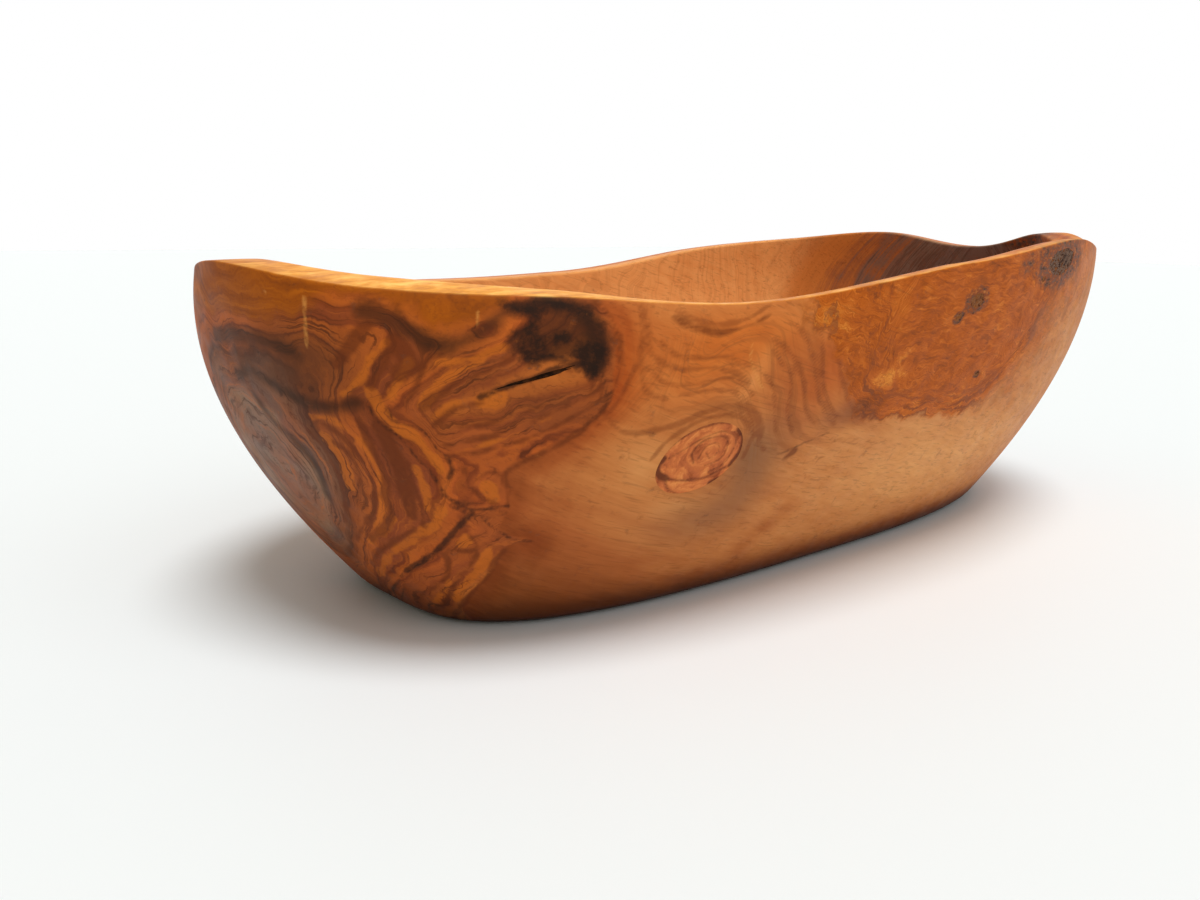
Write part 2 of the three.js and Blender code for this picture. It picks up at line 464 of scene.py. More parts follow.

# %% [markdown]
# The figure comes from how the tree grew. Its pith runs through the length of the block, so both ends
# show rings round it and the sides show long streaks. On the near wall, rings bend round a dark cloud and
# a knot, so their lines are drawn as curves with a ring number each, in millimetres from the pith, and a
# smooth sheet is bent through them all. A picture would be quicker, but drawn curves stay sharp close up
# and carry on through the wood.

# %% Drawn rings of the near wall
# Each row is a ring number and its curve, as (along, height) points
DRAWN_RINGS = [
    (8, [(-205, 40), (-197, 48), (-189, 41), (-196, 32)]),
    (20, [(-196, 60), (-183, 53), (-178, 46), (-177, 42), (-179, 37), (-183, 31), (-190, 24),
          (-200, 20)]),
    (29, [(-205, 66), (-190, 67.5), (-178, 67.5), (-168, 66), (-165, 62), (-171, 55), (-170, 50),
          (-169, 44), (-171, 37)]),
    (29, [(-171, 37), (-175, 31), (-183, 24), (-195, 14)]),
    (37, [(-205, 72), (-185, 73.5), (-168, 74), (-157, 72), (-156, 66), (-162, 59), (-162, 52),
          (-160, 46), (-161, 40)]),
    (37, [(-161, 40), (-164, 34), (-170, 28)]),
    (37, [(-170, 28), (-178, 22), (-190, 13), (-198, 8)]),
    (43, [(-205, 75), (-180, 76.5), (-160, 77.5), (-149, 76.5), (-147, 73), (-151, 67), (-157, 61),
          (-156.5, 52), (-155.5, 45)]),
    (43, [(-155.5, 45), (-156, 39), (-160, 32)]),
    (52, [(-212, 82), (-195, 82), (-178, 82), (-165, 81), (-155, 80.5), (-148, 81), (-141, 78),
          (-137, 75.5), (-132, 78)]),
    (43, [(-160, 32), (-167, 26.5), (-176, 20), (-188, 11), (-196, 5)]),
    (50, [(-131, 76), (-137, 71), (-143, 67), (-150, 62), (-153, 59), (-151, 55), (-147, 52),
          (-144, 46), (-143, 40)]),
    (50, [(-143, 40), (-147, 32), (-154, 27), (-163, 21), (-172, 16), (-182, 10), (-192, 4)]),
    (55, [(-127, 74), (-134, 69.5), (-141, 65.5), (-147.5, 61), (-149.3, 58.5), (-147, 56.6),
          (-144, 55.8), (-142, 53)]),
    (55, [(-142, 53), (-140.5, 50), (-139, 48), (-138, 43), (-138, 38)]),
    (55, [(-138, 38), (-141, 31), (-150, 24), (-160, 18.5), (-172, 13), (-186, 5.5), (-194, 1)]),
    (56.5, [(-134, 46), (-134.5, 42), (-132, 39), (-128, 37.5)]),
    (58, [(-130, 45), (-131, 42), (-129.5, 40)]),
    (56, [(-136.5, 47), (-130, 48), (-122, 50.5), (-114, 54)]),
    (58.5, [(-139.3, 50.3), (-133, 51.3), (-125, 53.5), (-116, 57), (-108, 61)]),
    (61, [(-141, 54), (-135, 54.3), (-127, 56), (-118, 59.5), (-109, 63.5)]),
    (63.5, [(-125, 71), (-133, 66.5), (-140, 62), (-143.5, 59), (-140, 57.2), (-133, 57),
          (-126, 58.7), (-117, 62)]),
    (66, [(-116, 69.5), (-124, 67), (-132, 63.5), (-137, 60.5), (-133.5, 59.3), (-127, 60.5),
          (-119, 63.3), (-112, 66.3)]),
    (68, [(-114, 67.8), (-122, 65), (-130, 62.2)]),
    (62, [(-130, 30), (-137, 25), (-145, 19), (-155, 13), (-165, 8), (-178, 2)]),
    (68, [(-133, 22), (-142, 13), (-153, 5), (-160, 0)]),
    (49, [(-150, 78.5), (-144, 76), (-138, 73)]),
    (53.5, [(-205, 87), (-170, 86), (-148, 84), (-138, 82)]),
]
print("curves in the figured wood:", len(DRAWN_RINGS))

# %% Drawn rings of the plain wood
# The same, to the right of the figured wood
PLAIN_RINGS = [
    (73, [(-127, 83), (-117, 82), (-110, 79), (-105.5, 73), (-103, 66), (-105, 59), (-112, 53)]),
    (84, [(-112, 82), (-105, 78), (-101, 71), (-101, 62), (-106, 55), (-115, 48), (-119, 40),
          (-118, 28), (-128, 15)]),
    (95, [(-104, 81), (-97, 75), (-94, 68), (-96, 60), (-103, 52), (-111, 42), (-112, 30),
          (-118, 18), (-135, 2)]),
    (116, [(-100, 78), (-90, 73), (-80, 73), (-71, 69), (-64, 61), (-58, 55), (-52, 48), (-40, 42),
          (-20, 38), (20, 31)]),
    (110, [(-92, 69), (-84, 66), (-76, 64), (-67, 58), (-61, 51), (-55, 44), (-44, 38), (-20, 31),
          (20, 24), (60, 16)]),
    (105, [(-93, 62), (-84, 60), (-76, 60), (-68, 55.5), (-62.5, 48), (-58, 41), (-48, 33),
          (-20, 24), (20, 16)]),
    (100, [(-98, 54), (-88, 54), (-80, 56.5), (-73, 55.5), (-65.5, 50), (-61.5, 43), (-64, 35),
          (-74, 32)]),
    (100, [(-74, 32), (-84, 36), (-90, 43), (-88, 49), (-80, 54)]),
    (90, [(-112, 12), (-90, 10), (-50, 12), (0, 5), (40, 1)]),
    (96, [(-105, 24), (-90, 26), (-60, 24), (-20, 15), (30, 8)]),
    (125, [(-92, 79), (-80, 78.5), (-70, 76), (-60, 68), (-50, 58), (-38, 49), (-15, 44), (20, 39),
          (60, 30), (110, 12)]),
    (138, [(-62, 80), (-45, 68), (-30, 56), (-10, 49), (20, 47), (50, 45), (90, 34), (130, 20)]),
    (152, [(-30, 84), (0, 80), (40, 70), (80, 62), (115, 50), (140, 40)]),
]
print("curves in the plain wood:", len(PLAIN_RINGS))

# %% [markdown]
# A place between two drawn rings gets a number between theirs. A thin sheet of metal that is bent over
# pins does the same, and its formula is short: every pin bends the sheet by a smooth amount, and one set
# of equations finds how hard each pin pulls. The figured and the plain wood get a sheet each, because
# their rings don't meet.

# %% Sheets bent through the drawn rings
# How softly the pins hold the sheet, and how many places are worked out at once
SHEET_GIVE = 4.0
SHEET_PART = 8000


def bent_sheet(curves):
    """A smooth sheet whose height near every drawn point is that curve's number."""
    spots = np.array([point for _, curve in curves for point in curve], float)
    levels = np.array([level for level, curve in curves for _ in curve], float)

    def bending(a, b):
        gap = ((a[:, None, :] - b[None, :, :]) ** 2).sum(-1)
        return 0.5 * gap * np.log(gap + 1e-6)

    count = len(spots)
    flat = np.column_stack([np.ones(count), spots])
    stiff = bending(spots, spots) + SHEET_GIVE * np.eye(count)
    equations = np.block([[stiff, flat], [flat.T, np.zeros((3, 3))]])
    pull = np.linalg.solve(equations, np.concatenate([levels, np.zeros(3)]))

    def height_at(along, height):
        places = np.column_stack([along, height])
        found = np.empty(len(places))
        for start in range(0, len(places), SHEET_PART):
            part = slice(start, start + SHEET_PART)
            found[part] = bending(places[part], spots) @ pull[:count]
        return found + pull[count] + places @ pull[count + 1 :]

    return height_at


drawn_ring = bent_sheet(DRAWN_RINGS)
plain_ring = bent_sheet(PLAIN_RINGS)
print("drawn ring points:", sum(len(curve) for _, curve in DRAWN_RINGS + PLAIN_RINGS))

# %% [markdown]
# Away from the near wall the figure follows the tree itself. There a ring number is the distance from the
# pith, whose line wanders through the block. A straight axis would be simpler, but both ends would show
# the same rings. Every point of the body gets a place on the strip and a ring number, and the drawn rings
# fade into the block's own in the hollow and round the ends.

# %% Rings inside the block
# The pith's line through the block, from the left end to the right one
PITH = [
    (-170, 0, 40), (-120, -4, 43), (-60, -20, 60), (0, -28, 76), (60, -18, 82), (110, 4, 80), (170, 22, 76),
]
# Rings are a little wider than high
RING_OVAL = 0.95
# Plain wood begins at this ring, and its rings are counted closer
PLAIN_FROM = 69.0
PLAIN_SPREAD = 2.6


def flowing(points, closed=False):
    """A smooth curve through given points."""
    points = np.array(points, float)
    if closed:
        points = np.concatenate([points[-1:], points, points[:2]])
    else:
        before = 2 * points[:1] - points[1:2]
        after = 2 * points[-1:] - points[-2:-1]
        points = np.concatenate([before, points, after])
    t = np.linspace(0, 1, 6, endpoint=False)[:, None]
    pieces = []
    for a, b, c, d in zip(points[:-3], points[1:-2], points[2:-1], points[3:]):
        bend = a - 2.5 * b + 2 * c - d / 2
        twist = 1.5 * (b - c) + (d - a) / 2
        pieces.append(b + t * ((c - a) / 2 + t * (bend + t * twist)))
    return np.concatenate(pieces + [points[-2:-1]])


def pith_distance(points):
    """Ring number inside the block: the distance from the pith."""
    x, y, z = points[:, 0], points[:, 1], points[:, 2]
    path = flowing(PITH)
    side = y - np.interp(x, path[:, 0], path[:, 1])
    rise = z - np.interp(x, path[:, 0], path[:, 2])
    found = np.hypot(RING_OVAL * side, rise)
    return np.where(found < PLAIN_FROM, found, PLAIN_FROM + (found - PLAIN_FROM) * PLAIN_SPREAD)


print("points on the pith's line:", len(flowing(PITH)))


# %% Where every point of the body lies
def mesh_points(piece):
    """A piece's points in millimetres."""
    points = np.empty(len(piece.data.vertices) * 3, np.float32)
    piece.data.vertices.foreach_get("co", points)
    return points.reshape(-1, 3).astype(float) / MILLIMETRE


def smooth_step(value, low, high):
    t = np.clip((value - low) / (high - low), 0, 1)
    return t * t * (3 - 2 * t)


def angle_on_wall(points):
    x, y, z = points[:, 0], points[:, 1], points[:, 2]
    length, width, corner = plan_at(x > 0, y > 0, z)
    c = np.sign(x) * (np.abs(x) / length) ** (corner / 2)
    s = np.sign(y) * (np.abs(y) / width) ** (corner / 2)
    return np.degrees(np.arctan2(s, c)) % 360


body_points = mesh_points(body)
body_height = body_points[:, 2]
body_angle = angle_on_wall(body_points)
body_along = along_at(body_angle)
body_depth = depth_in_wall(body_points)
# Share of the near wall's drawing: all of it outside from the left end to the near right,
# and none in the hollow
near_share = smooth_step(body_along, -222, -200) * smooth_step(-body_along, -150, -105)
near_share = near_share * smooth_step(-body_depth, -0.07, -0.02) * smooth_step(body_height, -0.5, 1)
block_ring = pith_distance(body_points)
figure = {"free_share": 1 - near_share}
for name, sheet in {"ring_number": drawn_ring, "plain_number": plain_ring}.items():
    figure[name] = near_share * sheet(body_along, body_height) + (1 - near_share) * block_ring
print("ring numbers:", figure["ring_number"].min().round(1), "to", figure["ring_number"].max().round(1))

# %% [markdown]
# Four patches are drawn on the strip. The figured wood ends at a ragged border, the burl is a patch of
# tiny squiggles at the upper right, the cloud is a dark stain, and a golden brown band lies under the rim
# at the left. They could be painted masks, but an outline of a few points becomes a distance in
# millimetres, and a finish can blur or roughen the edge of a distance.

# %% Outlines of the patches
FIGURED = [
    (-240, 110), (-118, 110), (-116, 84), (-113, 79.5), (-110, 76), (-107.3, 70), (-105.6, 64),
    (-105.2, 60), (-108, 56.5), (-113, 53), (-120, 50), (-127, 46), (-126.6, 41), (-127, 37),
    (-128.5, 33.5), (-130, 30.8), (-127.5, 28.8), (-122, 27.3), (-128, 27), (-131.5, 24.5), (-134, 21),
    (-137, 18), (-141, 14.8), (-146, 11), (-152, 6), (-160, -2), (-240, -10),
]
BURL = [
    (-76, 84), (-62, 75), (-49, 67), (-36, 57), (-24, 49.5), (-8, 46.5), (8, 45), (28, 44), (42, 46),
    (54, 54), (68, 67), (84, 78), (104, 88), (110, 105), (20, 110), (-60, 104),
]
CLOUD = [
    (-129, 80.5), (-123, 82), (-118, 81), (-113.5, 78.2), (-110, 73.8), (-108.5, 68), (-110, 65.5),
    (-113, 67.5), (-116, 70), (-121, 69), (-125.5, 70.5), (-127, 74), (-124.5, 77),
]
UPPER = [
    (-235, 74), (-205, 75.5), (-190, 75), (-175, 76), (-163, 78), (-156, 80.5), (-150, 81.5),
    (-144, 79), (-139, 76), (-136, 75), (-133, 76.5), (-129, 80), (-127, 84), (-135, 95), (-235, 100),
]
print("outline points:", sum(len(outline) for outline in (FIGURED, BURL, CLOUD, UPPER)))


# %% Distance from the outlines
def line_distance(along, height, curve):
    nearest = np.full(len(along), 1e6)
    for (u0, z0), (u1, z1) in zip(curve[:-1], curve[1:]):
        du = u1 - u0
        dz = z1 - z0
        t = np.clip(((along - u0) * du + (height - z0) * dz) / (du * du + dz * dz + 1e-9), 0, 1)
        nearest = np.minimum(nearest, np.hypot(along - u0 - t * du, height - z0 - t * dz))
    return nearest


def patch_depth(outline):
    """Distance of the body's points in from a closed outline, and minus outside it."""
    curve = flowing(outline, closed=True)
    inside = np.zeros(len(body_along), bool)
    for (u0, z0), (u1, z1) in zip(curve[:-1], curve[1:]):
        crosses = (z0 > body_height) != (z1 > body_height)
        inside ^= crosses & (body_along < (u1 - u0) * (body_height - z0) / (z1 - z0 + 1e-9) + u0)
    return np.where(inside, 1, -1) * line_distance(body_along, body_height, curve)


# Drawn things end at the rim and where the drawing ends, by a distance that is added there
outside_share = smooth_step(-body_depth, -0.03, -0.008) * (near_share > 0)
away = 12 * (1 - outside_share)
figure["plain_near"] = near_share * np.clip(-patch_depth(FIGURED), -12, 12)
figure["upper_depth"] = patch_depth(UPPER) - away
figure["cloud_depth"] = patch_depth(CLOUD) - away
burl_depth = np.where(near_share > 0, patch_depth(BURL), -50) - 12 * (1 - smooth_step(near_share, 0, 0.6))
# The burl's right and left edges are slow changes
burl_depth *= 1 - 0.75 * smooth_step(body_along, 20, 60) - 0.6 * smooth_step(-body_along, 24, 40)
figure["burl_depth"] = burl_depth
figure["burl_soft"] = smooth_step(body_along, 25, 60)
print("burl covers", round(float((burl_depth > 0).mean()) * 100, 1), "% of the points")

# %% [markdown]
# Lines run through the wood where it grew slowly, cracked or took up a stain: dark ones along the border
# of the figured wood, soft brown ones in its rings, smoky ones under the rim, thin ones round the knot in
# the plain wood, and a few light lines and flecks. A noise texture would give lines anywhere, but only
# drawn ones lie where the real ones do. Each row is half of a line's width and its curve, and a width
# below 0 makes a fainter line.

# %% Dark lines
DARK_LINES = [
    (0.5, [(-136, 35.5), (-141, 31.5), (-146, 27.3), (-150, 24.5), (-157, 20.6), (-165, 17)]),
    (0.1, [(-165, 17), (-172, 13), (-178, 10), (-187, 6), (-195, 2)]),
    (0.0, [(-153.5, 59.5), (-152.5, 56.5), (-150, 54.5), (-147.5, 51.5), (-146, 48.5), (-144, 46.5)]),
    (0.2, [(-144, 46.5), (-142.5, 42.5), (-141, 39.5), (-138, 37.5)]),
    (0.0, [(-149.8, 59.5), (-149, 57), (-146.5, 56), (-144, 55.2), (-142, 53), (-141, 50.5),
          (-139.2, 49)]),
    (0.3, [(-139.2, 49), (-138.6, 46.5), (-140, 44)]),
    (0.0, [(-133, 33), (-130.5, 30.5), (-128, 28.7), (-125, 27.6), (-121.5, 27.2)]),
    (0.1, [(-142, 40), (-139, 37.5), (-135, 36.3), (-131, 36.6), (-127, 37)]),
    (0.0, [(-141, 37), (-137, 35.3), (-132, 34.4), (-128, 34.7)]),
    (-0.1, [(-139, 39), (-136, 38), (-132, 37.6), (-129.5, 36)]),
    (-0.1, [(-136.5, 36.5), (-134.5, 34.8), (-133, 33)]),
    (-0.1, [(-130.5, 37), (-129, 35.5), (-127.5, 35.8)]),
    (0.45, [(-131.5, 62), (-128, 63.5), (-122, 65.8), (-117, 68), (-112, 68.5)]),
    (0.2, [(-126, 75), (-125, 72), (-121, 70), (-117, 69.5), (-113.5, 67)]),
    (0.0, [(-109, 67), (-107, 63), (-106.5, 58.5), (-110, 55)]),
    (0.0, [(-50, 41.8), (-42, 43.8), (-32.6, 46)]),
]
print("dark lines:", len(DARK_LINES))

# %% Soft lines of the figured wood
SOFT_LINES = [
    (0.4, [(-165, 59), (-160, 59.5), (-156, 60.5), (-153.5, 59.5)]),
    (0.2, [(-175, 54), (-171, 49), (-170, 44), (-171, 39), (-175, 33), (-181, 28)]),
    (0.2, [(-168, 55), (-163, 52.5), (-160, 47.5), (-159.3, 43), (-161.5, 37.5), (-165, 33),
          (-172, 28.5), (-181, 23)]),
    (0.1, [(-166, 50.5), (-163, 48), (-162, 44), (-164, 40), (-163, 37)]),
    (0.6, [(-157, 56), (-156, 50), (-155.3, 44), (-157.5, 39), (-158, 34.5), (-163, 30), (-172, 25)]),
    (1.6, [(-152, 55), (-151, 48), (-151, 41), (-152, 35)]),
    (0.3, [(-148.5, 47), (-149, 42), (-148.5, 37), (-150, 32)]),
    (0.2, [(-153, 30.5), (-162, 26), (-172, 21.5), (-184, 15)]),
    (1.2, [(-146, 73), (-144, 69), (-146, 66.5)]),
    (0.6, [(-158, 68), (-155, 71), (-150, 76)]),
    (0.2, [(-152, 64), (-149, 67.5), (-147.5, 71)]),
    (0.2, [(-146, 60), (-143, 64.5), (-141, 69), (-138, 71)]),
    (0.2, [(-143, 59.5), (-137, 64), (-130, 67.5), (-126, 70)]),
    (0.2, [(-141, 56), (-136, 59.5), (-131, 61)]),
    (-0.2, [(-139.5, 51.5), (-133, 52.8), (-125, 55), (-116, 59), (-108, 63)]),
    (-0.2, [(-138.5, 49.5), (-131, 50.5), (-122, 53), (-113, 57), (-108, 60)]),
    (-0.3, [(-141, 56), (-134, 56), (-126, 57.5), (-117, 61), (-110, 64.5)]),
    (-0.2, [(-115.5, 67.5), (-113.5, 65), (-112.5, 61.5)]),
    (-0.1, [(-112.5, 67), (-110.3, 64.5), (-109.6, 61)]),
    (-0.2, [(-110, 66.5), (-108.2, 64), (-107.6, 60.5)]),
    (0.2, [(-136, 46), (-135.5, 42.5), (-133, 39.5), (-130, 37.5)]),
    (0.1, [(-134, 43.5), (-130.5, 45.5), (-127.5, 45)]),
    (0.3, [(-147, 22.5), (-149, 18), (-153, 15), (-160, 11.5), (-170, 7)]),
    (0.2, [(-138, 29), (-137, 26.5), (-140, 25), (-145, 25.5), (-148, 23)]),
    (0.2, [(-138, 24), (-142, 20), (-147, 17), (-152, 11.5), (-160, 6)]),
    (0.4, [(-45.5, 41), (-43, 42)]),
    (0.1, [(-127, 37), (-126.5, 41), (-127, 45), (-122, 48), (-115, 51.3), (-108, 56), (-105.5, 61)]),
    (0.2, [(-130, 25), (-132, 23.5), (-134.5, 20.5), (-137, 17.5), (-141, 14.5), (-146, 11),
          (-150, 8), (-160, 1)]),
    (-0.5, [(-158, 82), (-150, 81), (-144, 78.5), (-138, 76.5), (-133, 77.8), (-129, 81)]),
    (-0.6, [(-152, 83.5), (-145, 80.5), (-138, 78.7), (-132, 80.3), (-128, 83)]),
    (0.0, [(-105.5, 61), (-105.3, 66), (-106.8, 71.5), (-110, 77), (-114, 81)]),
    (-0.1, [(-98.5, 77.8), (-94.8, 75.5), (-90.3, 74.4), (-85.8, 74), (-80.6, 75.2), (-76.9, 77)]),
]
print("soft lines:", len(SOFT_LINES))

# %% Smoky lines
SMOKY_LINES = [
    (1.0, [(-150, 78.8), (-146, 77), (-142, 74.6), (-139.5, 72.8), (-137, 72.3)]),
    (0.2, [(-137, 72.3), (-134, 73.5), (-131, 76), (-128, 79.5)]),
    (0.9, [(-205, 70.5), (-190, 71.8), (-178, 71.5), (-168, 70)]),
    (0.6, [(-198, 61.5), (-188, 64), (-180, 62), (-172, 59.3), (-163, 58.5), (-156, 60)]),
    (0.6, [(-192, 58), (-187, 51.5), (-182, 48.5), (-178.5, 45), (-178, 41), (-181, 35)]),
    (0.8, [(-127, 79.5), (-122.5, 81), (-117.5, 80), (-113.5, 76.8), (-111, 72), (-110, 68)]),
]
print("smoky lines:", len(SMOKY_LINES))

# %% Thin lines of the plain wood
FAINT_LINES = [
    (0.3, [(-98.5, 79), (-94, 76.8), (-88, 75.6), (-82, 76.6), (-79, 79)]),
    (0.1, [(-106, 80), (-103.7, 74.8), (-102.2, 69.6), (-102.6, 64.3), (-103.7, 59.9), (-107, 55)]),
    (0.2, [(-105, 79), (-101.5, 69.5), (-99.6, 64.3), (-97, 61.3), (-92.5, 59.9)]),
    (0.2, [(-103, 76), (-100, 70.3), (-95.5, 67.3), (-90.3, 66.2), (-83.5, 66.2), (-79, 65),
          (-74.5, 64), (-71.5, 62)]),
    (0.1, [(-99.6, 67.3), (-94.8, 64), (-89.5, 62.8), (-82, 63.2), (-76.9, 63.6), (-73.1, 62),
          (-68.7, 59)]),
    (0.1, [(-99, 72.5), (-94, 69.5), (-88, 68.6), (-81, 68.3), (-77, 66.8)]),
    (0.2, [(-89.5, 60.6), (-82, 61), (-76, 60.6), (-71.6, 58.4), (-67.2, 56), (-63, 52.5)]),
    (0.2, [(-107.5, 59.9), (-104.5, 56.1), (-100, 53.1), (-92.5, 52.7), (-87.3, 54.2), (-82, 55.3),
          (-76, 56.8)]),
    (0.4, [(-76, 56.8), (-70, 55.7), (-64, 53.1), (-60.5, 50), (-59, 46)]),
    (0.45, [(-97, 52.4), (-91.5, 53), (-86, 54.2), (-80, 56.2), (-74, 57), (-68, 56), (-63.5, 53),
          (-61, 48.5)]),
    (0.3, [(-91, 46), (-88, 50), (-82, 53.6), (-76, 55), (-70, 54.2), (-65, 51.5), (-62, 48),
          (-61.8, 43)]),
    (-0.15, [(-87, 38.5), (-83, 35.2), (-77, 32.8), (-70, 32.6), (-65, 34.5), (-62, 38)]),
    (0.1, [(-70.1, 69.6), (-65.7, 66.6), (-60.4, 63.2), (-57.4, 59.9), (-55.2, 55.4), (-52.2, 51.6),
          (-47.7, 47.9)]),
    (0.2, [(-72, 72), (-67.2, 70), (-62.7, 67.3), (-58.2, 64.4), (-53, 59.9), (-50, 56.2),
          (-46.3, 52.4), (-41, 49.4)]),
    (0.1, [(-76, 66.5), (-70, 64.5), (-65, 61.5), (-61, 57.5), (-58, 53), (-54.5, 49)]),
    (0.2, [(-67, 54.6), (-62.7, 53.1), (-59.7, 50.1), (-58.2, 46.4), (-55.2, 44.2)]),
    (0.2, [(-64, 76.5), (-60.4, 74), (-56.7, 71.1), (-53, 67.3), (-49.3, 62.9), (-44.8, 58.4),
          (-40.3, 54.7), (-33, 50)]),
    (0.1, [(-68, 75), (-63, 72), (-57, 68), (-51, 62), (-46, 57), (-40, 52.5), (-32, 48)]),
    (-0.25, [(-31, 37), (-30.4, 38.5), (-26, 38), (-21.6, 35), (-21.6, 32.5)]),
    (-0.25, [(-30.4, 32), (-35.9, 37.5), (-35.9, 40.8), (-30, 41.2), (-22, 38.8), (-16.8, 34.8),
          (-15.2, 31.5)]),
    (-0.2, [(-34.5, 43.5), (-22.9, 42), (-9.2, 38.2)]),
    (-0.2, [(-30, 44.2), (-14.6, 41.5), (-4, 38.5)]),
    (0.3, [(-56, 75.5), (-50, 69.6), (-46.3, 65.8), (-41.8, 62.1), (-37.4, 58.4), (-31.4, 53.9),
          (-25.4, 50.8)]),
]
print("thin lines:", len(FAINT_LINES))

# %% Light lines and flecks
LIGHT_LINES = [
    (0.2, [(-159, 61.5), (-156, 63.3), (-153, 66), (-150, 70), (-147.5, 73)]),
    (0.4, [(-148, 62), (-145.5, 66), (-144, 69)]),
    (0.8, [(-152.3, 62), (-151.3, 58.7), (-148.5, 55.3), (-145.3, 53.6), (-143.3, 50.3),
          (-141.2, 46.3)]),
    (0.5, [(-170, 56), (-164, 55.7), (-159, 52.5), (-156.8, 46.5), (-157.6, 40), (-160, 35),
          (-166, 29.5)]),
    (1.2, [(-168, 51), (-166, 46), (-167, 40)]),
    (0.5, [(-147, 46), (-146.2, 41), (-147.5, 36)]),
    (0.7, [(-143, 36.5), (-147.5, 32), (-155, 28), (-164, 23), (-175, 17), (-186, 11)]),
    (0.4, [(-158, 33), (-165, 28.5), (-174, 24)]),
    (1.4, [(-131.5, 42), (-130.5, 39.5)]),
    (0.9, [(-139, 28), (-142, 26.8)]),
    (0.9, [(-134, 25), (-137.5, 21), (-141, 18), (-146, 14.3), (-152, 9.5)]),
    (0.6, [(-150, 15.5), (-157, 10), (-165, 5.5)]),
    (0.5, [(-143, 60), (-138, 65.5), (-131, 69.5)]),
    (0.3, [(-141, 57.5), (-135, 61.3), (-132, 62)]),
    (0.4, [(-139, 69), (-133, 69.8), (-128, 72)]),
    (1.4, [(-131, 61.3), (-127.5, 61.8)]),
    (-0.3, [(-137, 50.3), (-127, 53), (-117, 57.5)]),
]
FLECKS = [
    (0.1, [(-77, 71.2), (-75.1, 67.8), (-71.7, 64.5), (-67, 60.5)]),
    (0.2, [(-161, 81), (-162, 77), (-163.7, 71)]),
    (0.2, [(-170.6, 82.2), (-170, 81.6)]),
    (-0.05, [(-132.5, 79), (-132, 75.5)]),
]
print("light lines and flecks:", len(LIGHT_LINES) + len(FLECKS))


# %% Distance from the lines
def nearest_line(along, height, lines):
    """Distance from the edge of the nearest line, and minus inside it."""
    gap = np.full(len(along), 1e3)
    for width, curve in lines:
        gap = np.minimum(gap, line_distance(along, height, flowing(curve)) - width)
    return gap


LINES = {
    "dark_gap": DARK_LINES,
    "soft_gap": SOFT_LINES,
    "smoky_gap": SMOKY_LINES,
    "faint_gap": FAINT_LINES,
    "light_gap": LIGHT_LINES,
    "fleck_gap": FLECKS,
}
for name, lines in LINES.items():
    figure[name] = nearest_line(body_along, body_height, lines) + away
print("points in a dark line:", int((figure["dark_gap"] < 0).sum()))

# %% [markdown]
# Bark stains the wood that grew round it, so a brown halo lies round each bark eye and pin knot, and bark
# also shows along the rim's inner edge at the right end. The halo could be a ring in the eye's own
# finish, but it belongs to the body, so it is measured from the eye's oval and kept with the body's
# figure.


# %% Distance from an inlay's oval
def oval_place(name, points):
    """Place of each point on an inlay's oval, along and across, where 1 is the outline."""
    angle, below_rim, along, across, lean, _ = INLAYS[name]
    here, level, upright, _ = inlay_axes(angle, below_rim)
    a = (points - here) @ level
    b = (points - here) @ upright
    tilt = np.radians(lean)
    p = (a * np.cos(tilt) + b * np.sin(tilt)) / (along / 2)
    q = (b * np.cos(tilt) - a * np.sin(tilt)) / (across / 2)
    return p, q


def beyond_oval(name, points):
    """Distance out from an inlay's outline, about in millimetres."""
    return (np.hypot(*oval_place(name, points)) - 1) * (INLAYS[name][2] + INLAYS[name][3]) / 4


print("farthest from the corner eye:", beyond_oval("corner_bark_eye", body_points).max().round())

# %% Stain round the bark
# How far the wood is stained round a bark piece, in millimetres
STAINS = {
    "corner_bark_eye": 9.0,
    "upper_bark_eye": 3.2,
    "pin_knot_high": 1.6,
    "pin_knot_middle": 1.6,
    "pin_knot_low": 1.0,
}
stain = np.zeros(len(body_points))
for name, spread in STAINS.items():
    stain = np.maximum(stain, np.clip(1 - beyond_oval(name, body_points) / spread, 0, 1))
stain *= outside_share
# Bark along the rim's inner edge at the right end
rim_place = ((body_angle + 180) % 360 - 180 + 16) / 8
rim_depth = (rim_height(body_angle) - body_height) / 5
on_rim = smooth_step(body_depth, 0.02, 0.035)
rim_bark = on_rim * np.clip(1.5 - rim_place**2 - rim_depth**2, 0, 1)
stain = np.maximum(stain, 0.45 * rim_bark)
figure["smoky_gap"] = np.minimum(figure["smoky_gap"], 5 - 7 * rim_bark)
# The corner eye's stain reaches farthest to the left
left_stain = 1.3 - ((body_along - 44) / 12) ** 2 - ((body_height - 86.5) / 5) ** 2
figure["stain"] = np.maximum(stain, 0.5 * outside_share * np.clip(left_stain, 0, 1))
print("stained points:", int((figure["stain"] > 0).sum()))

# %% [markdown]
# The plain wood isn't one colour. Broad soft patches of it are paler, more orange or greyer, some show
# thin wavy lines, and some of the figured wood is darker. A few of the paler patches are a painted
# highlight and a painted reflection under the rim, and two darker ones are painted shade along the foot.
# Large noise would cloud it too, but not in the right places, so each tone is a sum of soft ovals. A row
# holds an oval's middle, its half size along and up, and an amount.

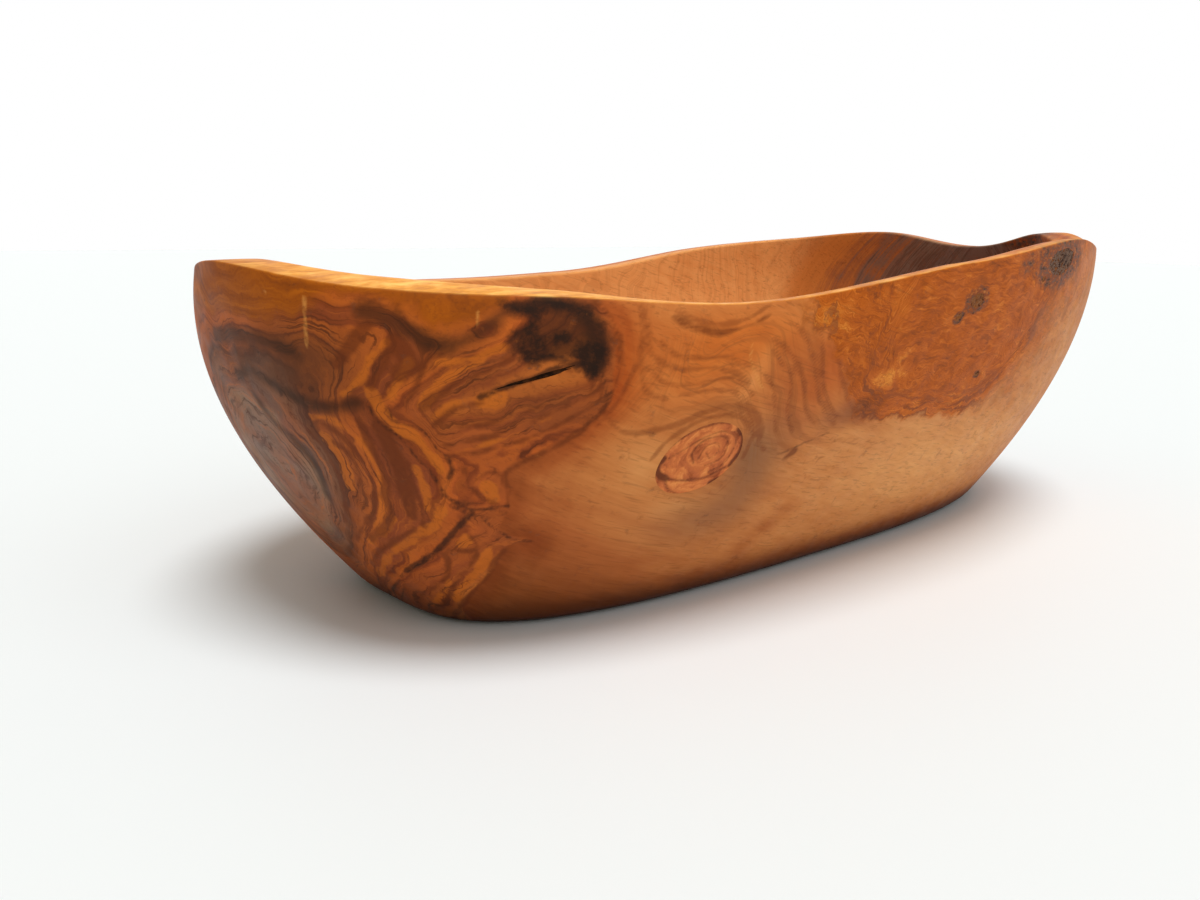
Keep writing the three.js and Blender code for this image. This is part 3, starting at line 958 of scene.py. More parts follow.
# %% Drawn tones
# How much paler the plain wood is, or darker by a minus
PALER = [
    # Painted highlight: sheen on the plain wood left of the knot
    (-100, 46, 12, 7, 0.15),
    (-136, 12, 14, 14, -0.6),
    # Painted highlight: a bright band under the rim above the knot
    (-70, 76, 30, 6, 0.35),
    (20, 28, 60, 18, 0.58),
    (75, 45, 45, 40, 0.3),
    (-84, 64, 22, 11, 0.55),
    (-55, 36, 14, 14, -0.2),
    (-33, 24, 5, 3, -0.35),
    (-39, 19, 5, 3, -0.35),
    (-45, 14, 5, 3, -0.35),
    (-93, 44, 6, 6, 0.3),
    (-78, 32, 11, 2.5, 0.35),
    (-71, 65, 3, 8, 0.5),
    (-95, 14, 20, 10, -0.2),
    (-120, 20, 16, 24, -0.35),
    (-118, 8, 20, 10, -0.3),
    # Painted shade along the foot of the wall
    (-60, 0, 160, 6, -1.1),
    (80, 0, 60, 6, -1.1),
    (-20.6, 59.3, 8, 3.2, 1.1),
    (-24, 51.5, 10, 3.5, -0.9),
    (-2, 73, 6, 3, 0.4),
    (-45, 78, 30, 5, 0.15),
]
# Where the plain wood is more orange
WARMER = [
    (-46, 62, 14, 14, 0.8),
    # Painted highlight: the orange band under the rim above the knot
    (-70, 75, 32, 7, 0.4),
    (-85, 66, 26, 14, 0.9),
    (-115, 30, 16, 30, 0.2),
    (-70, 20, 60, 20, 0.1),
]
# Where it is greyer
GREYER = [
    (-55.5, 40, 9.5, 12, 0.68),
    (-69, 27, 17, 7, 0.5),
    (-61, 45, 4, 6, 0.4),
    (-30, 50, 12, 3, 0.3),
]
# Where it shows thin wavy lines
LINED = [
    (-80, 66, 22, 13, 1.0),
    (-48, 52, 20, 16, 0.9),
    (10, 30, 50, 18, 0.2),
    (85, 45, 45, 35, 0.3),
]
# Where the figured wood is darker
DEEPER = [
    (-164, 69, 13, 9, 0.5),
    (-132, 70, 9, 6, 0.35),
    (-188, 66, 22, 8, 0.35),
    (-117, 59, 10, 6, 0.35),
    (-152, 47, 4, 12, 0.3),
    (-185, 5, 25, 8, 0.3),
    (-140, 3, 30, 6, 0.4),
]
print("tone ovals:", sum(len(ovals) for ovals in (PALER, WARMER, GREYER, LINED, DEEPER)))


# %% Tones on the body
def soft_ovals(ovals):
    total = np.zeros(len(body_along))
    for along, height, half_along, half_up, amount in ovals:
        distance = ((body_along - along) / half_along) ** 2 + ((body_height - height) / half_up) ** 2
        total += amount * np.exp(-distance)
    return total


hollow_share = smooth_step(body_depth, 0.03, 0.08)
# Plain wood is darker and redder next to the figured wood
border = np.exp(-((figure["plain_near"] / 6) ** 2))
# The hollow is painted paler all over: its wood is plainer, and the paint also stands in for light falling
# into it
figure["paler"] = (soft_ovals(PALER) - 0.45 * border) * near_share + 1.05 * hollow_share
warmer = (soft_ovals(WARMER) + 0.45 * border) * near_share
figure["warmer"] = warmer + 0.7 * (1 - near_share) - 0.25 * hollow_share
figure["greyer"] = soft_ovals(GREYER) * near_share
figure["lined"] = np.minimum(soft_ovals(LINED), 1) * near_share + 0.4 * (1 - near_share)
figure["deeper"] = soft_ovals(DEEPER) * near_share
print("paler tones:", figure["paler"].min().round(2), "to", figure["paler"].max().round(2))

# %% [markdown]
# Hands and cloths wear the rim, which is palest at the near left, and its top is painted paler still
# as a highlight. The foot is painted dark, as painted shade where the wall turns under. The hollow is
# plain in its middle, and its right end cuts into dark heart wood. All of these follow the form, so
# they are measured from the same rim, height and plan that made it.

# %% Rim with painted highlight, foot with painted shade, and heart wood
below_crest = rim_height(body_angle) + CREST - body_height
slope = chamfer(body_angle)
rim_top = smooth_step(-below_crest, -slope - 0.5, -slope + 0.1)
rim_top *= smooth_step(body_depth, -0.002, 0.004)
near_rim = smooth_step(body_angle, 165, 195) * smooth_step(-body_angle, -355, -325)
# The rim's top is paler for wear and for a painted highlight, most at the near left and along the near side
figure["worn_and_highlit_rim"] = rim_top * (0.1 + 0.45 * near_rim + 0.35 * np.exp(-(((body_angle - 217) / 30) ** 2)))
# The middle of the hollow and the sanded top of the rim show plain wood
middle = smooth_step(-body_points[:, 0], -138, -100) * smooth_step(body_points[:, 0], -130, -95)
figure["plain_more"] = np.maximum(hollow_share * middle, 0.9 * rim_top)
# Painted shade: the wall darkens towards the base, most in its lowest millimetres at the table
painted_foot_shade = 0.65 * smooth_step(-body_height, -13, -1) + 0.3 * smooth_step(-body_height, -3, -0.5)
figure["painted_foot_shade"] = painted_foot_shade * (1 - hollow_share)
# How far in from the heart wood's edge, with streaks that slant near the rim
HEART_PLACE = (150, -5)
HEART_REACH = 69
from_heart = np.hypot(body_points[:, 0] - HEART_PLACE[0], body_points[:, 1] - HEART_PLACE[1])
heart_depth = 1.5 * (HEART_REACH - from_heart)
heart_depth += 20 - ((body_height - 60) / 6.6) ** 2
figure["heart_depth"] = heart_depth
figure["heart_share"] = hollow_share * smooth_step(heart_depth, 0, 14)
print("points of heart wood:", int((figure["heart_share"] > 0.5).sum()))

# %% [markdown]
# A finish can read any value that is kept on a mesh's points, under the name of its attribute. An image
# would need the body unwrapped first, so every part of the figure is kept that way instead.


# %% Keep the figure on the body's points
def keep_field(piece, name, values):
    field = piece.data.attributes.new(name, "FLOAT", "POINT")
    field.data.foreach_set("value", np.asarray(values, np.float32))


for name, values in figure.items():
    keep_field(body, name, values)
print("figure fields:", sorted(figure))

# %% [markdown]
# A finish is a tree of nodes. Writing each node out in full hides what the finish does, so two small
# classes give every kind of node a short call, and the finishes below read as a list of what the wood
# shows.


# %% Short calls for nodes
def colour(code):
    """A colour as light, from its hexadecimal code."""
    shares = [int(code[i : i + 2], 16) / 255 for i in (0, 2, 4)]
    return [s / 12.92 if s <= 0.04045 else ((s + 0.055) / 1.055) ** 2.4 for s in shares] + [1]


class NodeTree:
    """A material and short calls for its nodes."""

    def __init__(self, name):
        self.material = bpy.data.materials.new(name)
        self.material.use_nodes = True
        self.tree = self.material.node_tree
        self.surface = self.tree.nodes["Principled BSDF"]
        self.place = self.add("TexCoord").outputs["Object"]

    def add(self, kind, inputs=(), **settings):
        node = self.tree.nodes.new("ShaderNode" + kind)
        for key, value in settings.items():
            setattr(node, key, value)
        for key, value in dict(inputs).items():
            self.feed(node.inputs[key], value)
        return node

    def feed(self, socket, value):
        if isinstance(value, bpy.types.NodeSocket):
            self.tree.links.new(value, socket)
        else:
            socket.default_value = value

    def field(self, name):
        """A value that is kept on the piece's points."""
        return self.add("Attribute", attribute_name=name).outputs["Fac"]

    def calc(self, operation, *values):
        return self.add("Math", dict(enumerate(values)), operation=operation).outputs[0]

    def times(self, first, second):
        return self.calc("MULTIPLY", first, second)

    def plus(self, base, value, amount):
        """A base with an amount of a value added."""
        return self.calc("MULTIPLY_ADD", value, amount, base)

    def centred(self, value):
        return self.calc("SUBTRACT", value, 0.5)

    def stretched(self, scale):
        return self.add("VectorMath", {0: self.place, 1: scale}, operation="MULTIPLY").outputs[0]

    def turned(self, slope, scale):
        """Place turned by a slope of the fibres, in degrees down to the right, and then stretched."""
        inputs = {"Vector": self.place, "Rotation": (0, np.radians(slope), 0)}
        inputs["Scale"] = [1 / s for s in scale]
        return self.add("Mapping", inputs, vector_type="TEXTURE").outputs[0]

    def noise(self, size, detail=2.0, roughness=0.5, place=None):
        """Soft random value whose lumps are about a size in millimetres."""
        inputs = {"Vector": place or self.place, "Scale": 1 / (size * MILLIMETRE)}
        inputs.update({"Detail": detail, "Roughness": roughness})
        return self.add("TexNoise", inputs).outputs["Fac"]

    def wave(self, *settings):
        """Noise that sways to both sides of 0."""
        return self.centred(self.noise(*settings))

    def bands(self, value, size, detail=2.0, roughness=0.5, drift=18.0):
        """Random bands along a value, about a size wide, that merge over a drift in millimetres."""
        slow = self.stretched([size / (drift * MILLIMETRE)] * 3)
        inputs = {"Vector": slow, "W": value, "Scale": 1 / size}
        inputs.update({"Detail": detail, "Roughness": roughness})
        return self.add("TexNoise", inputs, noise_dimensions="4D").outputs["Fac"]


print("mid grey as light:", [round(share, 2) for share in colour("808080")])

# %% Colours and sheen of a finish
# The wood's colours are written a little dark, and are lifted together by this much
GAIN = 1.23


class Finish(NodeTree):
    """What a finish shows, made from its nodes."""

    def ramp(self, value, stops, span=1.0):
        """Colours along a value, at stops from 0 to a span."""
        share = value if span == 1.0 else self.calc("DIVIDE", value, span)
        node = self.add("ValToRGB", {"Fac": share})
        elements = node.color_ramp.elements
        while len(elements) < len(stops):
            elements.new(1.0)
        for element, (position, code) in zip(elements, stops):
            element.position = position / span
            element.color = colour(code)
        return node.outputs["Color"]

    def step(self, value, low, high, start=0.0, end=1.0):
        inputs = {"Value": value, "From Min": low, "From Max": high, "To Min": start, "To Max": end}
        return self.add("MapRange", inputs, interpolation_type="SMOOTHSTEP").outputs["Result"]

    def blend(self, share, first, second, mode="MIX"):
        inputs = {0: share, 6: first, 7: second}
        return self.add("Mix", inputs, data_type="RGBA", blend_type=mode).outputs[2]

    def lines(self, base, name, wave, rough, outer, inner, strength, code):
        """Lines over a base, whose edges from outer to inner are made ragged by a wave."""
        edge = self.plus(self.field(name), wave, rough)
        return self.blend(self.step(edge, outer, inner, 0, strength), base, colour(code))

    def lifted(self, base):
        return self.blend(1.0, base, [GAIN, GAIN, GAIN, 1], "MULTIPLY")

    def bump(self, height, depth):
        inputs = {"Height": height, "Distance": depth * MILLIMETRE, "Strength": 1.0}
        return self.add("Bump", inputs).outputs["Normal"]

    def dress(self, base, roughness, specular=None, normal=None, ior=None):
        """Give the surface its colour and sheen."""
        values = {"Base Color": base, "Roughness": roughness, "Specular IOR Level": specular}
        values.update({"Normal": normal, "IOR": ior})
        for key, value in values.items():
            if value is not None:
                self.feed(self.surface.inputs[key], value)


wood = Finish("oiled_figured_wood")
print("first finish:", wood.material.name)

# %% [markdown]
# The figured wood is dark heart and tan and brown rings. A wave texture would repeat itself, so the ring
# number, shifted by noise to keep every line imperfect, runs through a ramp of listed bands. Fine dark
# and light lines follow the rings, fade in and out, and give the eye something to find close up.

# %% Oiled wood: rings
free_share = wood.field("free_share")
broad_wave = wood.wave(34, 2.0)
small_wave = wood.wave(8, 4.0, 0.5)
# Rings stray farther where they aren't drawn
broad_reach = wood.plus(4.0, free_share, 22.0)
ring = wood.plus(wood.field("ring_number"), broad_wave, broad_reach)
ring = wood.plus(ring, small_wave, 9.0)
# Stops up to 24 are the heart round the pith; they are painted paler and greyer than the wood, as painted
# sheen on the left end
RING_STOPS = [
    (0.0, "8A6E58"), (9, "745646"), (16, "86644C"), (20, "604438"), (24, "7C4E34"), (28.6, "522C18"),
    (31, "82421E"), (36, "A05220"), (37, "703418"), (38.5, "AA5620"), (42, "A4521E"), (43.5, "7A381A"),
    (48, "823E1E"), (50, "723214"), (52, "AE581E"), (54, "AA521E"), (55.2, "6A2E14"), (56.5, "A45020"),
    (58.5, "924820"), (60, "A05022"), (61.5, "86401E"), (63, "A05222"), (64.5, "823E1C"),
    (66, "A45622"), (68, "B46428"), (70, "A45622"),
]
ring_colour = wood.ramp(ring, RING_STOPS, 100)
faded = wood.step(wood.noise(16, 3.0, 0.6), 0.42, 0.66, 0, 0.5)
ring_colour = wood.blend(faded, ring_colour, colour("8A4418"))
fine_rings = wood.bands(ring, 1.0, 4.0, 0.65)
line_strength = wood.step(wood.noise(12, 3.0), 0.35, 0.6, 0.3, 0.8)
fine_share = wood.times(wood.step(fine_rings, 0.5, 0.36), line_strength)
ring_colour = wood.blend(fine_share, ring_colour, colour("46200C"))
light_share = wood.times(wood.step(fine_rings, 0.54, 0.66, 0, 0.6), line_strength)
ring_colour = wood.blend(light_share, ring_colour, colour("B05A1E"))
ring_colour = wood.blend(wood.field("deeper"), ring_colour, colour("4A2A16"))
print("ring bands:", len(RING_STOPS))

# %% [markdown]
# Plain wood is honey brown, with faint bands along its rings and streaks along its fibres. One noise
# would look like marble, so several are added up: soft and thin bands that bend with the rings, and two
# sizes of streaks that lean as the fibres do. The drawn tones shift the sum, and a ramp turns it into
# colour.

# %% Oiled wood: plain wood
# Noise of this size leaves its scale to a stretched place
METRE = 1000
streaks = wood.noise(METRE, 4.0, 0.65, wood.turned(22, (14, 260, 260)))
fine_streaks = wood.noise(METRE, 3.0, 0.6, wood.turned(24, (20, 620, 620)))
plain_base = wood.plus(wood.field("plain_number"), broad_wave, broad_reach)
bent_ring = wood.plus(plain_base, small_wave, 9.0)
soft_bands = wood.centred(wood.bands(bent_ring, 7.0, 2.0, 0.5, 40.0))
thin_bands = wood.centred(wood.bands(bent_ring, 2.0, 2.0, 0.5, 40.0))
plain_mix = wood.plus(wood.field("paler"), soft_bands, 0.5)
plain_mix = wood.plus(plain_mix, wood.times(thin_bands, wood.field("lined")), 0.6)
plain_mix = wood.plus(plain_mix, wood.centred(fine_streaks), 0.5)
plain_mix = wood.plus(plain_mix, wood.centred(streaks), 0.6)
plain_mix = wood.plus(plain_mix, wood.wave(30, 3.0), 0.5)
plain_colour = wood.ramp(
    wood.plus(0.45, plain_mix, 0.45),
    [(0.0, "763E18"), (0.3, "9E5A2C"), (0.5, "B6743E"), (0.75, "CA8E54"), (1.0, "D8A66E")],
)
plain_colour = wood.blend(wood.field("warmer"), plain_colour, colour("F2C08C"), "MULTIPLY")
plain_colour = wood.blend(wood.field("greyer"), plain_colour, colour("7A5438"))
print("wood nodes so far:", len(wood.tree.nodes))

# %% Oiled wood: grain of the plain wood and its border
grain_ring = wood.plus(plain_base, wood.wave(11, 1.0), 7.0)
grain = wood.bands(grain_ring, 1.3, 3.0, 0.6, 55.0)
grain_share = wood.times(wood.step(grain, 0.54, 0.36, 0, 0.5), wood.field("lined"))
plain_colour = wood.blend(grain_share, plain_colour, colour("844A22"))
plain_colour = wood.lines(plain_colour, "faint_gap", wood.wave(4, 3.0), 1.4, 0.75, -0.2, 0.5, "6E3212")
plain_edge = wood.plus(wood.field("plain_near"), small_wave, 2.5)
plain_edge = wood.plus(plain_edge, wood.calc("SUBTRACT", ring, PLAIN_FROM), free_share)
plain_share = wood.calc("MAXIMUM", wood.step(plain_edge, -0.4, 0.6), wood.field("plain_more"))
wood_colour = wood.blend(plain_share, ring_colour, plain_colour)
print("wood nodes so far:", len(wood.tree.nodes))

# %% [markdown]
# The golden brown band under the rim and the dark heart wood in the hollow's right end lie over both.
# They could have pieces of their own, but in the tree they are one wood with the rest, so each is a share
# of the same finish, with bands that follow its own direction.

# %% Oiled wood: band under the rim and heart wood
upper_edge = wood.plus(wood.field("upper_depth"), small_wave, 8.0)
upper_bands = wood.bands(ring, 3.0, 4.0, 0.65, 40.0)
upper_colour = wood.ramp(upper_bands, [(0.3, "6A320A"), (0.5, "8C4608"), (0.7, "A85A0E")])
wood_colour = wood.blend(wood.step(upper_edge, -1.0, 2.5), wood_colour, upper_colour)
heart_streaks = wood.centred(wood.bands(wood.field("heart_depth"), 4.0, 4.0, 0.65, 60.0))
heart_value = wood.plus(wood.field("heart_depth"), heart_streaks, 95.0)
heart_value = wood.plus(heart_value, small_wave, 30.0)
# Heart wood: its darker stops carry a grey and purple cast that is painted sheen
HEART_AND_SHEEN_STOPS = [
    (0, "B87238"), (24, "AE6A32"), (40, "8E5634"), (52, "72564A"), (60, "5C4238"),
    (68, "6C5850"), (76, "543E36"), (85, "665450"), (94, "4A3834"), (100, "5E4C48"),
]
heart_and_sheen_colour = wood.ramp(heart_value, HEART_AND_SHEEN_STOPS, 100)
wood_colour = wood.blend(wood.field("heart_share"), wood_colour, heart_and_sheen_colour)
print("heart wood bands:", len(HEART_AND_SHEEN_STOPS))

# %% Oiled wood: light, soft and smoky lines
soft_wave = wood.wave(6, 3.0)
light_edge = wood.plus(wood.field("light_gap"), soft_wave, 4.0)
between_rings = wood.step(fine_rings, 0.36, 0.48, 0.2, 1.0)
light_share = wood.times(wood.step(light_edge, 0.8, -0.1, 0, 0.62), between_rings)
wood_colour = wood.blend(light_share, wood_colour, colour("B66019"))
wood_colour = wood.lines(wood_colour, "soft_gap", soft_wave, 3.0, 1.0, -0.2, 0.7, "5E2A0E")
wood_colour = wood.lines(wood_colour, "smoky_gap", soft_wave, 3.0, 2.2, -0.6, 0.7, "2E1A0C")
print("wood nodes so far:", len(wood.tree.nodes))

# %% [markdown]
# A burl is a knot of buds that never grew out, and its wood is all small squiggles. They could be noise
# alone, but on the real one they run more or less level and bend along the burl's edge. So the bands
# follow the height, warped by noise and pushed aside near the edge.

# %% Oiled wood: burl
burl_edge = wood.plus(wood.field("burl_depth"), wood.wave(9, 4.0, 0.6), 10.0)
burl_soft = wood.field("burl_soft")
burl_share = wood.step(burl_edge, wood.plus(-0.8, burl_soft, -6.0), wood.plus(1.2, burl_soft, 6.0))
burl_warp = wood.wave(METRE, 3.0, 0.6, wood.stretched((90, 90, 180)))
level = wood.times(wood.add("SeparateXYZ", {0: wood.place}).outputs["Z"], 1 / MILLIMETRE)
level = wood.plus(level, wood.times(burl_edge, wood.step(burl_edge, 16.0, 6.0)), 2.0)
squiggles = wood.bands(wood.plus(level, burl_warp, 8.0), 0.9, 4.0, 0.7, 6.0)
burl_value = wood.plus(squiggles, wood.wave(11, 4.0, 0.6), 0.4)
burl_value = wood.plus(burl_value, wood.field("paler"), 0.22)
burl_colour = wood.ramp(
    burl_value,
    [(0.2, "64300F"), (0.38, "8A430C"), (0.5, "A04D0C"), (0.62, "B05A14"), (0.85, "CE8430")],
)
edge_lines = wood.bands(burl_edge, 1.6, 3.0, 0.6)
edge_share = wood.times(wood.step(burl_edge, 12.0, 3.0), wood.step(edge_lines, 0.52, 0.4, 0, 0.65))
burl_colour = wood.blend(edge_share, burl_colour, colour("64331A"))
wood_colour = wood.blend(burl_share, wood_colour, burl_colour)
print("wood nodes so far:", len(wood.tree.nodes))

# %% [markdown]
# The cloud, the dark lines, the flecks and the stains come last, because they lie over every kind of
# wood. Their drawn edges are clean curves, and real ones are torn, so one fine noise roughens them all.

# %% Oiled wood: cloud, dark lines, flecks and stains
ragged = wood.wave(3.6, 4.0, 0.65)
cloud_edge = wood.plus(wood.field("cloud_depth"), ragged, 4.5)
cloud_thin = wood.step(wood.noise(5, 4.0, 0.6), 0.38, 0.62, 0.98, 0.74)
cloud_share = wood.times(wood.step(cloud_edge, -1.4, 0.9), cloud_thin)
wood_colour = wood.blend(cloud_share, wood_colour, colour("20120A"))
wood_colour = wood.lines(wood_colour, "dark_gap", ragged, 1.6, 0.65, -0.3, 0.8, "24130A")
wood_colour = wood.lines(wood_colour, "fleck_gap", ragged, 1.2, 0.5, -0.2, 0.45, "CF9048")
stain_edge = wood.plus(wood.field("stain"), ragged, 1.6)
stain_colour = wood.ramp(
    wood.noise(1.4, 3.0, 0.6, wood.stretched((0.7, 0.7, 1.4))),
    [(0.34, "28160E"), (0.43, "5C4436"), (0.5, "6A3418"), (0.6, "8A4618"), (0.74, "AA6C32")],
)
wood_colour = wood.blend(wood.step(stain_edge, 0.1, 0.65, 0, 0.9), wood_colour, stain_colour)
print("wood nodes so far:", len(wood.tree.nodes))

# %% [markdown]
# Fine dark fibres, the worn rim with its painted highlight, the painted shade of the foot and a painted
# veil of sheen finish the colour. The oil has soaked in, so the sheen is low and broad, a little uneven,
# and the fibres stand up by a hair. A clear coat would look like varnish, so the wood's own surface
# carries the sheen.

# %% Oiled wood: fibres, worn rim with painted highlight, painted foot shade, painted veil and sheen
WOOD_IOR = 1.33
WOOD_SPECULAR = 0.12
# Share of a blue-grey veil painted into every colour, a painted reflection of the oil's sheen
SHEEN_VEIL = 0.006
fibres = wood.noise(METRE, 2.0, 0.6, wood.turned(16, (70, 1400, 1400)))
wood_colour = wood.blend(wood.step(fibres, 0.46, 0.3, 0, 0.22), wood_colour, colour("4A2410"))
# The rim's top takes a pale ramp: part wear, part painted highlight
worn_and_highlit_colour = wood.ramp(streaks, [(0.3, "AE6A2C"), (0.5, "D8963F"), (0.68, "F6C068")])
wood_colour = wood.blend(wood.field("worn_and_highlit_rim"), wood_colour, worn_and_highlit_colour)
# Painted shade on the foot, where the wall turns under towards the table
wood_colour = wood.blend(wood.field("painted_foot_shade"), wood_colour, colour("6A5A50"), "MULTIPLY")
# Painted reflection: a faint blue-grey veil stands in for the oil's sheen
wood_colour = wood.blend(SHEEN_VEIL, wood_colour, colour("8C8C96"))
wood_sheen = wood.step(wood.noise(5, 3.0), 0.3, 0.7, 0.42, 0.54)
wood.dress(wood.lifted(wood_colour), wood_sheen, WOOD_SPECULAR, wood.bump(fibres, 0.02), WOOD_IOR)
body.data.materials.clear()
body.data.materials.append(wood.material)
print("oiled wood nodes:", len(wood.tree.nodes))

# %% [markdown]
# The side knot is the end of a branch: rings nested in an oval, a few dark lines, and a dark outline
# where its bark was. The wall's own rings would run straight across it, so its rings and lines are
# measured on its own face and kept on its own points.

# %% Lines of the knot
KNOT_LINES = [
    (0.1, [(-89, 45), (-87, 48), (-82, 51.5), (-76, 53), (-70, 52.5), (-66, 50)]),
    (0.7, [(-87.5, 45.5), (-89, 43.7), (-87.5, 41.5), (-85, 40.2)]),
    (0.6, [(-68, 50.8), (-65.2, 49), (-64, 46), (-64.5, 43.5), (-65.5, 41.5)]),
    (-0.05, [(-86, 45.5), (-82, 47.5), (-78, 49.6), (-73, 50.8), (-69, 49.8)]),
    (0.1, [(-85, 40.3), (-80, 39.2), (-73, 39), (-67, 41), (-65.2, 42)]),
    (0.1, [(-85.5, 40), (-83, 37), (-78, 34.7), (-72, 34), (-67, 35), (-64, 38), (-63.5, 40.5)]),
    (0.0, [(-78, 43.5), (-79.5, 46), (-78, 48.6), (-74.5, 49.6), (-70.5, 49), (-69, 46),
          (-70, 43.5), (-74, 42.3)]),
    (-0.1, [(-77, 44.3), (-76, 47.3), (-73, 48), (-71.5, 46), (-73, 44), (-75, 45.5)]),
    (0.1, [(-72.2, 42.6), (-71.8, 42.4)]),
    (0.0, [(-70, 50.5), (-67.3, 48.5), (-66.6, 45.5), (-68, 42), (-72, 40.4)]),
    (1.0, [(-69.8, 37), (-66.5, 37.6)]),
]
KNOT_MIDDLE = (-74.5, 46)
KNOT_STRETCH = 1.35
knot_piece = inlays["side_knot"]
knot_points = mesh_points(knot_piece)
knot_along = along_at(angle_on_wall(knot_points))
knot_height = knot_points[:, 2]
keep_field(knot_piece, "knot_line", nearest_line(knot_along, knot_height, KNOT_LINES))
keep_field(knot_piece, "knot_rim", -beyond_oval("side_knot", knot_points))
knot_ring = np.hypot((knot_along - KNOT_MIDDLE[0]) / KNOT_STRETCH, knot_height - KNOT_MIDDLE[1])
keep_field(knot_piece, "knot_ring", knot_ring)
print("knot points:", len(knot_points))

# %% Knot wood
knot = Finish("knot_wood")
knot_wave = knot.wave(4, 4.0, 0.6)
knot_bands = knot.bands(knot.plus(knot.field("knot_ring"), knot_wave, 5.0), 1.6, 3.0, 0.6, 9.0)
knot_mix = knot.plus(knot_bands, knot_wave, 0.8)
knot_colour = knot.ramp(
    knot_mix,
    [(0.25, "7E3C1C"), (0.42, "A65830"), (0.54, "B86636"), (0.68, "C87A40"), (0.82, "D89452")],
)
knot_colour = knot.lines(knot_colour, "knot_line", knot_wave, 0.8, 0.6, -0.3, 0.85, "4E2414")
knot_colour = knot.lines(knot_colour, "knot_rim", knot_wave, 2.0, 0.8, 0.0, 0.75, "5A2E16")
knot_sheen = knot.step(knot.noise(3, 3.0), 0.3, 0.7, 0.42, 0.55)
knot.dress(knot.lifted(knot_colour), knot_sheen, WOOD_SPECULAR, knot.bump(knot_mix, 0.03), WOOD_IOR)
knot_piece.data.materials.append(knot.material)
print("knot wood nodes:", len(knot.tree.nodes))

# %% [markdown]
# Bark is dry and scatters light rather than shines. The corner eye is rough, with grey scales, the small
# eye and the pin knots are browner and smoother, and the seam is nearly black. One finish for all would
# make the seam too pale, so there are three.

# %% Bark
bark = Finish("dry_bark")
scales = bark.add("TexVoronoi", {"Vector": bark.stretched((0.6, 0.6, 1.4)), "Scale": 700.0}, feature="F1")
bark_lumps = bark.noise(1.6, 4.0, 0.65)
bark_colour = bark.ramp(
    bark_lumps,
    [(0.32, "281610"), (0.42, "4E3224"), (0.5, "7C6456"), (0.57, "55301C"), (0.68, "9A5C30")],
)
bark_relief = bark.calc("ADD", scales.outputs["Distance"], bark_lumps)
bark.dress(bark_colour, bark.step(bark_lumps, 0.3, 0.7, 0.7, 0.92), 0.1, bark.bump(bark_relief, 0.4))
seam = Finish("dark_seam")
seam.dress(seam.ramp(seam.noise(1.5, 3.0), [(0.4, "20120A"), (0.7, "4A2A16")]), 0.85, 0.05)
eye = Finish("brown_eye")
eye_lumps = eye.noise(1.4, 4.0, 0.65)
eye_colour = eye.ramp(
    eye_lumps,
    [(0.34, "3C1C0E"), (0.44, "6A3A1C"), (0.52, "8A5C3A"), (0.6, "7E4218"), (0.7, "B4702E")],
)
eye.dress(eye_colour, 0.8, 0.1, eye.bump(eye_lumps, 0.3))
finishes = {"bark_seam": seam, "corner_bark_eye": bark}
for name, piece in inlays.items():
    if name != "side_knot":
        piece.data.materials.append(finishes.get(name, eye).material)
print("bark nodes:", len(bark.tree.nodes))

# %% [markdown]
# Every dressed piece takes the place of one solid of the frame, and rides on the same body. The pieces
# could be joined into one mesh, but then a finish could no longer be changed for one of them. Smooth
# shading stops at the sharp edges of the sockets.

# %% Put the pieces on the frame
SHARP_FROM = 50
pieces = {"bowl_body": body, **inlays}
for name, piece in pieces.items():
    piece.data.shade_smooth()
    piece.data.set_sharp_from_angle(angle=np.radians(SHARP_FROM))
    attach(piece, "root")
    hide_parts(name)
print("pieces:", sorted(piece.name for piece in pieces.values()))

# %% [markdown]
# The bowl stands on a plain white table in soft daylight. Small lamps would cut hard shadows, so two wide
# ones light it: one from overhead, for the shadow under the bowl, and a weak one from the near side.

# %% Table and lamps
TABLE_REACH = 3.0
table_corners = [(x * TABLE_REACH, y * TABLE_REACH, 0) for x, y in ((-1, -1), (1, -1), (1, 1), (-1, 1))]
table_mesh = bpy.data.meshes.new("table_top")
table_mesh.from_pydata(table_corners, [], [(0, 1, 2, 3)])
table = bpy.data.objects.new("table_top", table_mesh)
bpy.context.scene.collection.objects.link(table)
table_finish = Finish("white_table")
table_finish.dress(colour("E8F1FB"), 0.6)
table_mesh.materials.append(table_finish.material)


def soft_sun(name, towards, strength, spread, tint):
    """Daylight from a direction, soft by the angle that it spreads over."""
    lamp = bpy.data.lights.new(name, "SUN")
    lamp.energy = strength
    lamp.color = tint
    lamp.angle = np.radians(spread)
    holder = bpy.data.objects.new(name, lamp)
    bpy.context.scene.collection.objects.link(holder)
    back = unit(np.array(towards, float))
    side = unit(np.cross([0, 1, 0.001], back))
    lamp_axes = np.column_stack([side, np.cross(back, side), back])
    holder.matrix_world = Matrix(lamp_axes.tolist()).to_4x4()


soft_sun("near_glow", (0.1, -0.8, 0.75), 0.66, 60, (1, 0.98, 0.96))
soft_sun("overhead_glow", (-0.05, -0.22, 1.0), 2.12, 26, (1, 0.975, 0.92))

# %% [markdown]
# The world is white where the camera sees it or the oil mirrors it. As light it is only a mild, warm
# fill: a world that lit everything in white would wash out the wood and its shadow. The kind of ray
# chooses between the two.

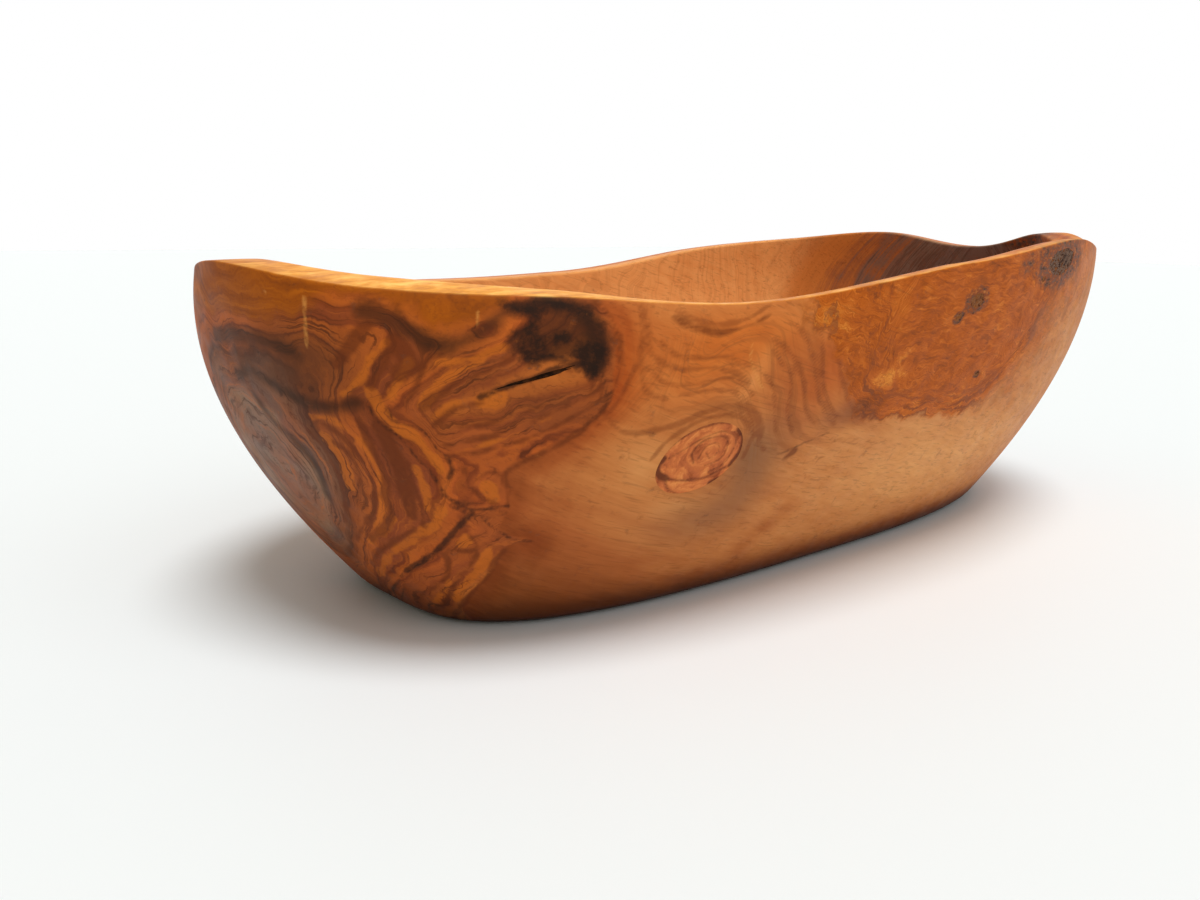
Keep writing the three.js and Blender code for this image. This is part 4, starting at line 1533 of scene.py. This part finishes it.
# %% World
world = bpy.data.worlds.new("daylight")
bpy.context.scene.world = world
world.use_nodes = True
sky = world.node_tree
rays = sky.nodes.new("ShaderNodeLightPath")
seen = rays.outputs["Is Camera Ray"]
for kind in ("Is Glossy Ray", "Is Transmission Ray"):
    either = sky.nodes.new("ShaderNodeMath")
    either.operation = "MAXIMUM"
    sky.links.new(seen, either.inputs[0])
    sky.links.new(rays.outputs[kind], either.inputs[1])
    seen = either.outputs[0]
fill = sky.nodes["Background"]
white = sky.nodes.new("ShaderNodeBackground")
for node, tint, strength in ((fill, (1, 0.87, 0.64, 1), 0.36), (white, (1, 1, 1, 1), 1.0)):
    node.inputs["Color"].default_value = tint
    node.inputs["Strength"].default_value = strength
choose = sky.nodes.new("ShaderNodeMixShader")
for place, source in enumerate((seen, fill.outputs[0], white.outputs[0])):
    sky.links.new(source, choose.inputs[place])
sky.links.new(choose.outputs[0], sky.nodes["World Output"].inputs["Surface"])
bpy.context.scene.view_settings.view_transform = "Standard"
print("world nodes:", len(sky.nodes))

# %% [markdown]
# The photograph was taken close to the table, a little above the rim, from the near left corner. The
# camera stands where the bowl's outline, base and rim fall as they do there, and looks slightly down.
# Aiming it by eye would come close, but these measures were fitted to the outlines.

# %% Camera
CAMERA_PLACE = np.array([-249.45, -231.65, 96.66])
YAW = np.radians(41.16)
PITCH = np.radians(12.09)
ROLL = np.radians(0.78)
LENS = 31.914
SENSOR = 36
forward = np.array([np.sin(YAW) * np.cos(PITCH), np.cos(YAW) * np.cos(PITCH), -np.sin(PITCH)])
level_right = np.array([np.cos(YAW), -np.sin(YAW), 0])
level_up = np.cross(level_right, forward)
right = np.cos(ROLL) * level_right + np.sin(ROLL) * level_up
up = -np.sin(ROLL) * level_right + np.cos(ROLL) * level_up
camera = bpy.data.objects.new("camera", bpy.data.cameras.new("camera"))
bpy.context.scene.collection.objects.link(camera)
camera.data.sensor_fit = "HORIZONTAL"
camera.data.sensor_width = SENSOR
camera.data.lens = LENS
camera.data.clip_start = 0.01
camera_axes = np.column_stack([right, up, -forward, CAMERA_PLACE * MILLIMETRE])
camera.matrix_world = Matrix(np.vstack([camera_axes, [0, 0, 0, 1]]).tolist())
bpy.context.scene.camera = camera
print("camera at", CAMERA_PLACE.round().tolist(), "mm")
